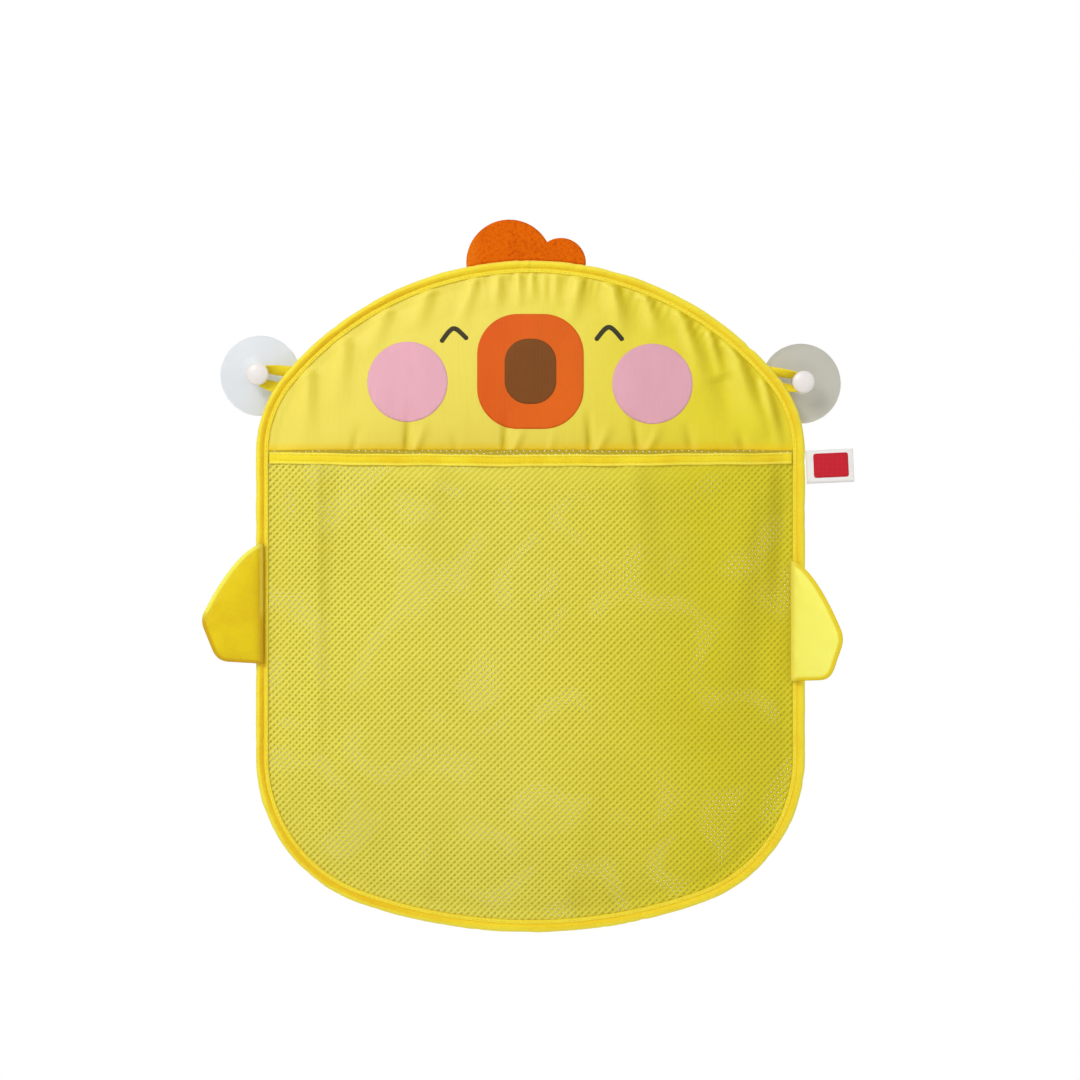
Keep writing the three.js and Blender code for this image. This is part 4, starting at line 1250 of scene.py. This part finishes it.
class MakePocketNet(bpy.types.Operator):
    """Make the bulging front pocket of diamond net"""
    bl_idname = "toy_bag.pocket_net"
    bl_label = "Pocket net"

    yarn_share = 0.58  # a strand's width as a share of the mesh
    half_width, foot = 168, BOTTOM + 5
    tuck = 3.2  # how far the net reaches up into the mouth band

    def execute(self, context):
        sizes, tints = context.scene.toy_bag_sizes, context.scene.toy_bag_colours
        top = MOUTH - BAND_HEIGHT + self.tuck

        def inside(x, z):
            return np.minimum(depth_in(x, z) - PANEL_INSET - NET_EDGE, top - 0.8 - z)

        def lay(at):
            x, z = at[:, 0].copy(), at[:, 2].copy()
            new = at.copy()
            new[:, 0] += 0.5 * waves(x, z, seed=31, size=90)
            new[:, 2] += 0.5 * waves(x, z, seed=32, size=90) - pocket_drop(x, z)
            new[:, 1] += pocket_depth(x, z)
            return new

        net = knitted(
            "pocket_mesh", sizes.net_mesh / MM, self.yarn_share, (-self.half_width, self.foot),
            (self.half_width, top), inside, lay, net_finish("pocket_net_yarn", tints, 1.02),
        )
        at = points_of(net)
        x, z = at[:, 0], at[:, 2]
        # Painted shade: deeper on the side and on slopes of the net that turn from the light, and darker
        # where a fold turns it from the light
        slope = -tilt(pocket_depth, x, z, step=3)
        measure(net, "side_shade", np.clip(painted_side_shade(x, z) - 6 * slope, 0, 1))
        measure(net, "turned", np.clip(-6 * tilt(net_folds, x, z, step=3), 0, 1))
        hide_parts("pocket_net")
        return {"FINISHED"}


class MakeBackNet(bpy.types.Operator):
    """Make the flat back panel of diamond net"""
    bl_idname = "toy_bag.back_net"
    bl_label = "Back net"

    yarn_share = 0.82
    half_width = 174

    @staticmethod
    def shifted(x, z):
        """Where the loose net's places come to lie, so that its mesh doesn't line up with the pocket's."""
        to_x = 4.2 * waves(x, z, seed=33, size=110) + 1.3 * waves(x, z, seed=35, size=42)
        to_z = 4.2 * waves(x, z, seed=34, size=110) + 1.3 * waves(x, z, seed=36, size=42)
        return x + to_x, z + to_z

    def execute(self, context):
        sizes, tints = context.scene.toy_bag_sizes, context.scene.toy_bag_colours

        def inside(x, z):
            return depth_in(*self.shifted(x, z)) - PANEL_INSET - NET_EDGE

        def lay(at):
            x, z = self.shifted(at[:, 0], at[:, 2])
            held = np.clip((depth_in(x, z) - 9) / 30, 0, 1)
            back = at[:, 1] + MIDDLE + LAYER + held * (0.6 * waves(x, z, seed=3, size=70) - 0.2)
            return np.stack([x, back, z], axis=1)

        # The back net's yarn is drawn darker than the pocket's as painted shade, and glows with painted light
        # for the light that comes through thin yarn
        net = knitted(
            "back_mesh", sizes.back_mesh / MM, self.yarn_share, (-self.half_width, BOTTOM),
            (self.half_width, TOP), inside, lay, net_finish("back_net_yarn", tints, 0.9, 0.2),
        )
        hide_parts("back_net")
        return {"FINISHED"}


class MakeMouthBand(bpy.types.Operator):
    """Make the tape band round the pocket's mouth, its elastic and its two rows of stitches"""
    bl_idname = "toy_bag.mouth_band"
    bl_label = "Mouth band"

    # Sections: how far back of the band's middle, and how far above the mouth's line
    back = [
        (0.98, -7.2), (1.05, -6.1), (0.82, -5.3), (1.2, -4.2), (1.1, -2.6), (0.82, -1.75), (1.12, -1.2),
        (1.05, -0.25),
    ]
    lining = [(0.55, -1.3), (0.5, -4.0), (0.5, -7.2), (0.75, -7.45)]
    section = rounded(back + [(0.0, -0.2)] + mirrored(back), 0.4, 2) + mirrored(lining) + lining
    strap = ((-0.3, -3.4), (0.3, -3.4), (0.3, -1.0), (-0.3, -1.0))
    rows, row_rise = (-1.72, -5.32), 0.92
    end = 8.6  # from the outer edge to either end of the band
    stations = 260

    @staticmethod
    def ring(x, section):
        """A section at one place along the mouth, where the tape waves a little."""
        at, edge = np.array([x]), np.array([MOUTH])
        front = MIDDLE - LAYER - float(pocket_forward(at, edge)[0]) - 0.5
        line = MOUTH - float(pocket_drop(at, edge)[0])
        wave = 0.14 * math.sin(x / 6.1) + 0.12 * math.sin(x / 2.6 + 1)
        lift = 0.22 * math.sin(x / 13.0) + 0.12 * math.sin(x / 5.0 + 2)
        return [
            (x, front + depth * (1 + 0.5 * wave) - wave, line + height + lift) for depth, height in section
        ]

    def execute(self, context):
        sizes, tints = context.scene.toy_bag_sizes, context.scene.toy_bag_colours
        half = WIDTH / 2 - self.end
        stations = np.linspace(-half, half, self.stations)
        band = put(
            "mouth_band", swept([self.ring(x, self.section) for x in stations]),
            flat_tape_finish("band_tape", tints, 0.0009, edged=True), "bag", "tape",
        )
        at = points_of(band)
        measure(band, "up", at[:, 2] + pocket_drop(at[:, 0], np.full(len(at), MOUTH)) - MOUTH)
        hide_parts("pocket_band")
        strap = put(
            "mouth_elastic", swept([self.ring(x, self.strap) for x in stations[4:-4]]),
            elastic_finish(tints), "bag", "elastic", smooth=False,
        )
        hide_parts("pocket_elastic")

        places = []
        pitch = sizes.stitch_pitch / MM
        spots = [(face, row) for face in (-1, 1) for row in self.rows]
        for i in range(int(2 * (half - 3) / pitch)):
            x = -half + 3 + (i + 0.5) * pitch
            before, after = (self.ring(x + step, ((0, 0),))[0] for step in (-0.5, 0.5))
            run = np.array(after) - np.array(before)
            middles = self.ring(x, [(face * self.row_rise, row) for face, row in spots])
            places += [(at, run, (0, face, 0)) for at, (face, row) in zip(middles, spots)]
        sew("band_stitches", places, sizes, thread_finish("band_thread", tints.tape), "bag", "tape")
        return {"FINISHED"}


class MakeWings(bpy.types.Operator):
    """Make the two stuffed wings with their stitched edges"""
    bl_idname = "toy_bag.wings"
    bl_label = "Wings"

    reach, height = 38.7, 76.0
    cell = 0.85
    row_inset = 2.7  # from the wing's edge to its row of stitches
    # Side, way out, the top of the root's seam, how far the wing leans and the room behind its root
    sides = (
        ("left", -1, (-WIDTH / 2 + 5.6, -15.3, -104), 11, 0),
        ("right", 1, (WIDTH / 2 - BINDING, -14.4, -115), 41, 5),
    )

    def outline(self):
        """The wing's edge from the top of its root round its tip to the root's foot."""
        def pins(*shares):
            return [(out * self.reach, -down * self.height) for out, down in shares]

        loop = [(0.0, 0.0)]
        loop += curve_points([loop[-1]] + pins((0.35, 0.02), (0.75, 0.34), (0.97, 0.57)), 16)
        loop += curve_points([loop[-1]] + pins((1.03, 0.64), (0.96, 0.72)), 8)
        loop += pins((0.83, 0.885))
        loop += curve_points([loop[-1]] + pins((0.76, 0.97), (0.58, 0.98)), 8)
        return loop + pins((0.0, 1.0))

    @staticmethod
    def half(depth, x, z, side, room):
        """How far either face stands from the middle: a rounded edge that is drawn in a little along its
        seam, and a low crown inside it. The right wing's back stays thin for some room beside its root, so
        that it clears the binding."""
        round_edge = 0.25 + 1.05 * np.sqrt(np.clip(1 - (1 - np.clip(depth / 1.8, 0, 1)) ** 2, 0, 1))
        crown = 1.5 * (1 - (1 - np.clip((depth - 1.8) / 13, 0, 1)) ** 2)
        seam = 0.3 * np.exp(-((depth - 2.7) / 0.7) ** 2)
        root = np.clip((x - room * (side > 0)) / 4, 0, 1)
        folds = 0.16 * np.sin(z / 2.1 + side) * np.exp(-((depth - 3.6) / 2.4) ** 2)
        folds += 0.22 * np.sin(z / 5.3 + 1.3 * np.sin(z / 9)) * np.exp(-((x - 4) / 4) ** 2)
        uneven = 0.16 * waves(x, z, seed=9, size=18) * np.clip(depth / 3, 0, 1)
        full = round_edge + crown - seam + folds + uneven
        return 0.55 + (full - 0.55) * (0.3 + 0.7 * root)

    def stitches(self, loop, depth_of, half, frame_in, face, pitch):
        """Where the stitches lie on the wing's back, along its edge."""
        def depth_at(spot):
            return depth_of(spot[:1], spot[1:])[0]

        places = []
        walked = resample(loop, pitch)
        for (ax, az), (bx, bz) in zip(walked, walked[1:]):
            middle = np.array(((ax + bx) / 2, (az + bz) / 2))
            run = np.array((bx - ax, bz - az))
            run /= np.linalg.norm(run)
            inward = np.array((run[1], -run[0]))
            if depth_at(middle + inward) < 0:
                inward = -inward
            spot = middle + self.row_inset * inward
            if depth_at(spot) < 2.4 or spot[0] < 2:
                continue
            rise = float(half(np.array([self.row_inset]), spot[:1], spot[1:], face)[0])
            off = frame_in.to_3x3() @ Vector((0, face, 0))
            where = frame_in @ Vector((spot[0], face * (rise + 0.02), spot[1]))
            way = frame_in.to_3x3() @ Vector((run[0], 0, run[1]))
            places.append((where, way, off))
        return places

    def execute(self, context):
        sizes, tints = context.scene.toy_bag_sizes, context.scene.toy_bag_colours
        loop = self.outline()
        depth_of = partial(loop_depth, loop)
        for side, direction, place, lean, room in self.sides:
            turn = math.radians(-lean if direction > 0 else 180 + lean)
            frame_in = Matrix.Translation(place) @ Matrix.Rotation(turn, 4, "Z")
            half = partial(self.half, room=room)
            bm = trimmed_grid(self.cell, (0, -self.height), (self.reach * 1.01, 0), depth_of)
            part = stuffed(bm, depth_of, half)
            own = {}

            def set_out(at, part=part, frame_in=frame_in, own=own):
                local = part(at)
                own["out"], own["down"] = local[:, 0].copy(), local[:, 2].copy()
                own["rim"] = np.maximum(depth_of(local[:, 0], local[:, 2]), 0)
                own["upper"] = np.clip((local[:, 2] + 0.66 * self.height) / 8, 0, 1)
                turned = np.array(frame_in)
                return local @ turned[:3, :3].T + turned[:3, 3]

            name = side + "_wing"
            # The right wing gets the lit copy of the satin, as painted light
            cloth = wing_finish(name + "_cloth", tints, direction > 0)
            wing = put(name, bm, cloth, name, "wing", set_out)
            for word, values in own.items():
                measure(wing, word, values)
            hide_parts(name + "_cover", name + "_foam")

            places = self.stitches(loop, depth_of, half, frame_in, direction, sizes.stitch_pitch / MM)
            thread = thread_finish(name + "_thread", tints.wing_shade)
            sew(name + "_stitches", places, sizes, thread, name, "wing")
        return {"FINISHED"}


class MakeComb(bpy.types.Operator):
    """Make the two-lobed comb of thick felt"""
    bl_idname = "toy_bag.comb"
    bl_label = "Felt comb"

    big_middle, big_radius = (-13.4, 73.3), 27.2
    small_middle, small_radius = (19.2, 73.1), 15.8
    tuck = 0.2  # how far its foot reaches in over the binding's outer edge
    low, high, cell = (-41, 70), (36, 101), 0.8

    def inside(self, x, z):
        big = disc(x, z, self.big_middle, self.big_radius)
        small = disc(x, z, self.small_middle, self.small_radius)
        base = np.hypot(x, z - CROWN_CENTRE) - CROWN_RADIUS + self.tuck
        return np.minimum(np.maximum(big, small), base)

    @staticmethod
    def half(depth, x, z, side):
        edge = 1.5 * np.sqrt(np.clip(1 - (1 - np.clip(depth / 1.3, 0, 1)) ** 2, 0.02, 1))
        return edge + 0.07 * waves(x, z, seed=21, size=5) * np.clip(depth, 0, 1)

    def execute(self, context):
        bm = trimmed_grid(self.cell, self.low, self.high, self.inside)
        part = stuffed(bm, self.inside, self.half)

        def set_up(at):
            new = part(at)
            new[:, 1] += MIDDLE
            return new

        felt = felt_finish(context.scene.toy_bag_colours)
        comb = put("comb_felt_piece", bm, felt, "comb", "felt", set_up)
        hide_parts("comb")
        return {"FINISHED"}


class MakeCups(bpy.types.Operator):
    """Make the two suction cups and their pins"""
    bl_idname = "toy_bag.cups"
    bl_label = "Suction cups"

    # Profiles: radius, and depth from the wall
    cup = rounded(
        [
            (0, -3.4), (2.5, -3.4), (2.5, -7.0), (6.2, -7.0), (6.2, -4.4), (8.0, -4.0), (13.9, -2.6),
            (20.0, -1.7), (24.6, -1.0), (25.5, -0.9), (25.5, 0.0), (22.3, 0.0), (21.4, -0.15),
            (13.9, -1.25), (7.0, -1.95), (0, -2.1),
        ],
        0.7,
    )
    pin = rounded(
        [
            (0, -19.7), (3.6, -19.3), (6.2, -18.2), (7.0, -17.3), (7.0, -14.9), (PIN_NECK, -14.9),
            (PIN_NECK, -7.3), (2.2, -7.3), (2.2, -3.7), (0, -3.7),
        ],
        0.8,
    )

    def execute(self, context):
        tints = context.scene.toy_bag_colours
        plastic = pin_finish(tints)
        # The right cup's rubber is a dimmer copy of the left's, as painted shade
        for side, direction, shade in (("left", -1, tints.cup), ("right", 1, tints.cup_in_shade)):
            rubber = rubber_finish(side + "_rubber", shade)
            middle = np.array((direction * CUP_SIDE, 0, -direction * CUP_STAGGER))

            def set_on(at, middle=middle):
                return at + middle

            body = side + "_cup"
            cup = put(side + "_cup", spun(self.cup, 96), rubber, body, "cup", set_on)
            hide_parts(side + "_suction_cup")
            pin = put(side + "_pin", spun(self.pin, 48), plastic, body, "pin", set_on)
            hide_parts(side + "_cup_pin")
        return {"FINISHED"}


class MakeLoops(bpy.types.Operator):
    """Make the two hanging loops of folded tape"""
    bl_idname = "toy_bag.loops"
    bl_label = "Hanging loops"

    half_width, inner_width, half_thick = 3.0, 5.8, 0.45
    inner_slant = math.radians(40)
    room = 0.6  # between the pin's neck and the tape
    tuck = 0.5  # how far the ends reach into the binding
    spread = 7.25  # from the root's middle to either end
    leg_steps, bend_steps = 14, 28
    # The tape's section, in shares of its half width and its half thickness
    section = (
        (-1, -0.6), (-1, 0.6), (-0.9, 1), (-0.5, 0.9), (0, 1), (0.9, 1), (1, 0.6), (1, -0.6), (0.9, -1),
        (0, -1), (-0.5, -0.9), (-0.9, -1),
    )

    def path(self, direction, edge):
        """The tape's way from its upper end round the pin to its lower end, each place with its turn from
        upright, which is 0 round the pin, to flat on the binding, which is 1."""
        outward = np.array((direction * math.cos(LOOP_TURN), math.sin(LOOP_TURN)))
        root = np.array((direction * LOOP_SIDE, 0.0)) - self.tuck * outward
        neck = np.array((direction * CUP_SIDE, -direction * CUP_STAGGER))
        bend = PIN_NECK + self.room + self.half_thick
        upper, lower = root + self.spread * edge, root - self.spread * edge

        def tangent(start, turn):
            gap = start - neck
            return math.atan2(gap[1], gap[0]) + turn * math.acos(bend / np.linalg.norm(gap))

        def on_arc(turn):
            return neck + bend * np.array((math.cos(turn), math.sin(turn)))

        start, end = tangent(upper, -direction), tangent(lower, direction)
        sweep = -direction * ((start - end) * direction % TAU)
        first, last = on_arc(start), on_arc(end)
        legs, turns = self.leg_steps, self.bend_steps
        way = [(upper + (first - upper) * (i / legs), 1 - i / legs) for i in range(legs)]
        way += [(on_arc(start + sweep * i / turns), 0.0) for i in range(turns + 1)]
        return way + [(last + (lower - last) * (i / legs), i / legs) for i in range(1, legs + 1)]

    def execute(self, context):
        finish = flat_tape_finish("loop_tape", context.scene.toy_bag_colours, 0.0007)
        for side, direction in (("left", -1), ("right", 1)):
            edge = np.array((-direction * math.sin(LOOP_TURN), math.cos(LOOP_TURN)))
            path = self.path(direction, edge)
            rings = []
            for i, (at, flat) in enumerate(path):
                before, after = path[max(0, i - 1)][0], path[min(len(path) - 1, i + 1)][0]
                run = (after - before) / np.linalg.norm(after - before)
                forward = Vector((run[0], 0, run[1]))
                inward = Vector((edge[0], 0, edge[1])) * (-1 if i < len(path) / 2 else 1)
                flat = flat**0.6
                turn = flat * math.pi / 2
                wide = Vector((0, math.cos(turn), 0)) + inward * math.sin(turn)
                slant = flat * self.inner_slant
                inner = wide * math.cos(slant) + Vector((0, 1, 0)) * math.sin(slant)
                reach = self.half_width + flat * (self.inner_width - self.half_width)
                centre = Vector((at[0], MIDDLE, at[1]))
                ring = []
                for w, t in self.section:
                    way, size = (wide, self.half_width) if w <= 0 else (inner, reach)
                    off = (way if w else wide + inner).cross(forward).normalized()
                    ring.append(centre + way * (w * size) + off * (t * self.half_thick))
                rings.append(ring)
            loop = put(side + "_loop", swept(rings), finish, "bag", "tape")
            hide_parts(side + "_hanging_loop")
        return {"FINISHED"}


class MakeLabel(bpy.types.Operator):
    """Make the folded side label with its plain block"""
    bl_idname = "toy_bag.label"
    bl_label = "Side label"

    long, tall = 30.0, 21.0
    fold, tape = 0.75, 0.42  # radius of the folded end, and thickness of the tape
    turn = math.radians(2.5)
    height = -56.0
    block_middle, block_half, block_corner = (15.6, 0.6), (11.0, 7.7), 1.2
    block_rise, ink = 0.06, 0.05

    def section(self):
        """The folded tape from above: its outer side and back along its inner side."""
        def end(radius, steps, way):
            turns = [i * math.pi / steps for i in range(1, steps)]
            return [(flat + radius * math.sin(turn), way * radius * math.cos(turn)) for turn in turns]

        flat, fold = self.long - self.fold, self.fold
        slit = fold - self.tape
        points = [(0.0, -fold), (flat, -fold)] + end(fold, 8, -1) + [(flat, fold), (0.0, fold)]
        points += [(0.0, slit), (flat, slit)] + end(slit, 4, 1) + [(flat, -slit), (0.0, -slit)]
        fine = []
        for a, b in zip(points, points[1:] + points[:1]):
            parts = max(1, round(math.dist(a, b) / 2.5))
            for i in range(parts):
                fine.append((a[0] + (b[0] - a[0]) * i / parts, a[1] + (b[1] - a[1]) * i / parts))
        return fine

    def set_in(self, at):
        """Bends the label a little, turns it and sets it in the right edge."""
        x, y, z = at[:, 0], at[:, 1], at[:, 2]
        bend = 0.5 * np.sin(x / self.long * math.pi) * np.sin(z / 9 + 0.6) + 0.25 * np.sin(x / 5)
        near = np.clip(x / 6, 0, 1)
        to_x, to_z = math.cos(self.turn), math.sin(self.turn)
        turned = np.stack([x * to_x - z * to_z, y + 0.5 * bend * near, x * to_z + z * to_x], axis=1)
        lean = math.sin(self.turn) * self.tall / 2
        return turned + np.array((WIDTH / 2 + 0.3 + lean, MIDDLE, self.height))

    def set_on(self, at):
        flat = at.copy()
        flat[:, 1] = -self.fold - self.block_rise
        return self.set_in(flat)

    def execute(self, context):
        tints = context.scene.toy_bag_colours
        section = self.section()
        rings = [[(x, y, z) for x, y in section] for z in np.linspace(-self.tall / 2, self.tall / 2, 12)]
        label = put("label_tape", swept(rings), label_finish(tints), "label", "label", self.set_in)
        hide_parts("side_label")

        inside = partial(
            rounded_box, middle=self.block_middle, half=self.block_half, corner=self.block_corner
        )
        bm = trimmed_grid(1.2, (5, -9), (29, 9), inside)
        block = put("label_block", bm, block_finish(tints), "label", "label", self.set_on)
        thicken(block, self.ink * MM)
        return {"FINISHED"}


class FinishHoop(bpy.types.Operator):
    """Give the hoop and its ferrule their drawn steel"""
    bl_idname = "toy_bag.hoop"
    bl_label = "Wire hoop"

    def execute(self, context):
        steel = steel_finish(context.scene.toy_bag_colours)
        for node in ("rim_wire", "rim_wire_ferrule"):
            hoop = bpy.data.objects[node]
            hoop.data.materials.clear()
            hoop.data.materials.append(steel)
        return {"FINISHED"}


class MakeStage(bpy.types.Operator):
    """Make the pale floor, the soft studio light and the camera"""
    bl_idname = "toy_bag.stage"
    bl_label = "Stage"

    floor_half, floor_height = 3.0, -0.62
    world_light = 0.48  # on the bag, where 1 is the white that the camera sees
    aim = (0, 0, -0.12)
    # Each lamp's name, place, size and power
    lamps = (
        ("key", (-1.1, -1.7, 1.3), 0.8, 26),
        ("fill", (1.5, -1.6, 0.2), 1.2, 5),
        ("back", (0.6, 1.8, 0.9), 1.2, 14),
    )
    camera_place, camera_lens = (0.006, -1.414, -0.102), 74

    def execute(self, context):
        scene = context.scene
        self.make_floor(scene)
        self.make_world(scene)
        self.make_lights(scene)
        lens = bpy.data.cameras.new("photo_camera")
        lens.lens = self.camera_lens
        camera = bpy.data.objects.new("photo_camera", lens)
        camera.location = self.camera_place
        camera.rotation_euler = (math.pi / 2, 0, 0)
        scene.collection.objects.link(camera)
        scene.camera = camera
        scene.view_settings.view_transform = "Standard"
        return {"FINISHED"}

    def make_floor(self, scene):
        bm = bmesh.new()
        bmesh.ops.create_grid(bm, x_segments=8, y_segments=8, size=self.floor_half)
        bmesh.ops.translate(bm, verts=bm.verts, vec=(0, 0, self.floor_height))
        mesh = bpy.data.meshes.new("studio_floor")
        bm.to_mesh(mesh)
        bm.free()
        floor = bpy.data.objects.new("studio_floor", mesh)
        scene.collection.objects.link(floor)
        shade = scene.toy_bag_colours.floor
        finish = Finish("studio_floor", Roughness=0.9)
        finish.colour(finish.mix(finish.noise(3, 2) * 0.1, rgba(shade), rgba(shade, 0.9)))
        plain = Level(finish, finish.shader.outputs[0])
        glow = finish.add("ShaderNodeEmission", {}, {"Color": rgba(WHITE), "Strength": 1.0})
        mixed = finish.add("ShaderNodeMixShader", {}, {0: finish.seen(), 1: plain, 2: glow})
        finish.give(finish.ending.inputs[0], mixed)
        mesh.materials.append(finish.material)

    def make_world(self, scene):
        world = bpy.data.worlds.new("studio")
        scene.world = world
        world.use_nodes = True
        sky = NodeMaker(world.node_tree)
        strength = sky.seen() * (1 - self.world_light) + self.world_light
        backdrop = sky.add("ShaderNodeBackground", {}, {"Color": rgba(WHITE), "Strength": strength})
        sky.give(sky.nodes.new("ShaderNodeOutputWorld").inputs[0], backdrop)

    def make_lights(self, scene):
        for name, at, size, power in self.lamps:
            lamp = bpy.data.lights.new(name + "_light", "AREA")
            lamp.energy, lamp.size = power, size
            light = bpy.data.objects.new(name + "_light", lamp)
            light.location = at
            light.rotation_euler = (Vector(self.aim) - Vector(at)).to_track_quat("-Z", "Y").to_euler()
            scene.collection.objects.link(light)


STEPS = (
    MakeStage, MakeBinding, MakeFacePanel, MakePrints, MakePocketNet, MakeBackNet, MakeMouthBand, MakeWings,
    MakeComb, MakeCups, MakeLoops, MakeLabel, FinishHoop,
)


class ToyBagPanel(bpy.types.Panel):
    """Lists the pieces of the bag"""
    bl_idname = "VIEW3D_PT_toy_bag"
    bl_label = "Toy Bag"
    bl_space_type = "VIEW_3D"
    bl_region_type = "UI"
    bl_category = "Toy Bag"

    def draw(self, context):
        column = self.layout.column(align=True)
        for step in STEPS:
            column.operator(step.bl_idname)
        for group in (context.scene.toy_bag_sizes, context.scene.toy_bag_colours):
            box = self.layout.box()
            for name in group.__annotations__:
                box.prop(group, name)


CLASSES = (ToyBagSizes, ToyBagColours) + STEPS + (ToyBagPanel,)


def register():
    for part in CLASSES:
        bpy.utils.register_class(part)
    bpy.types.Scene.toy_bag_sizes = PointerProperty(type=ToyBagSizes)
    bpy.types.Scene.toy_bag_colours = PointerProperty(type=ToyBagColours)


def unregister():
    del bpy.types.Scene.toy_bag_colours
    del bpy.types.Scene.toy_bag_sizes
    for part in reversed(CLASSES):
        bpy.utils.unregister_class(part)


def main():
    register()
    for step in STEPS:
        group, name = step.bl_idname.split(".")
        getattr(getattr(bpy.ops, group), name)()


if __name__ == "__main__":
    main()
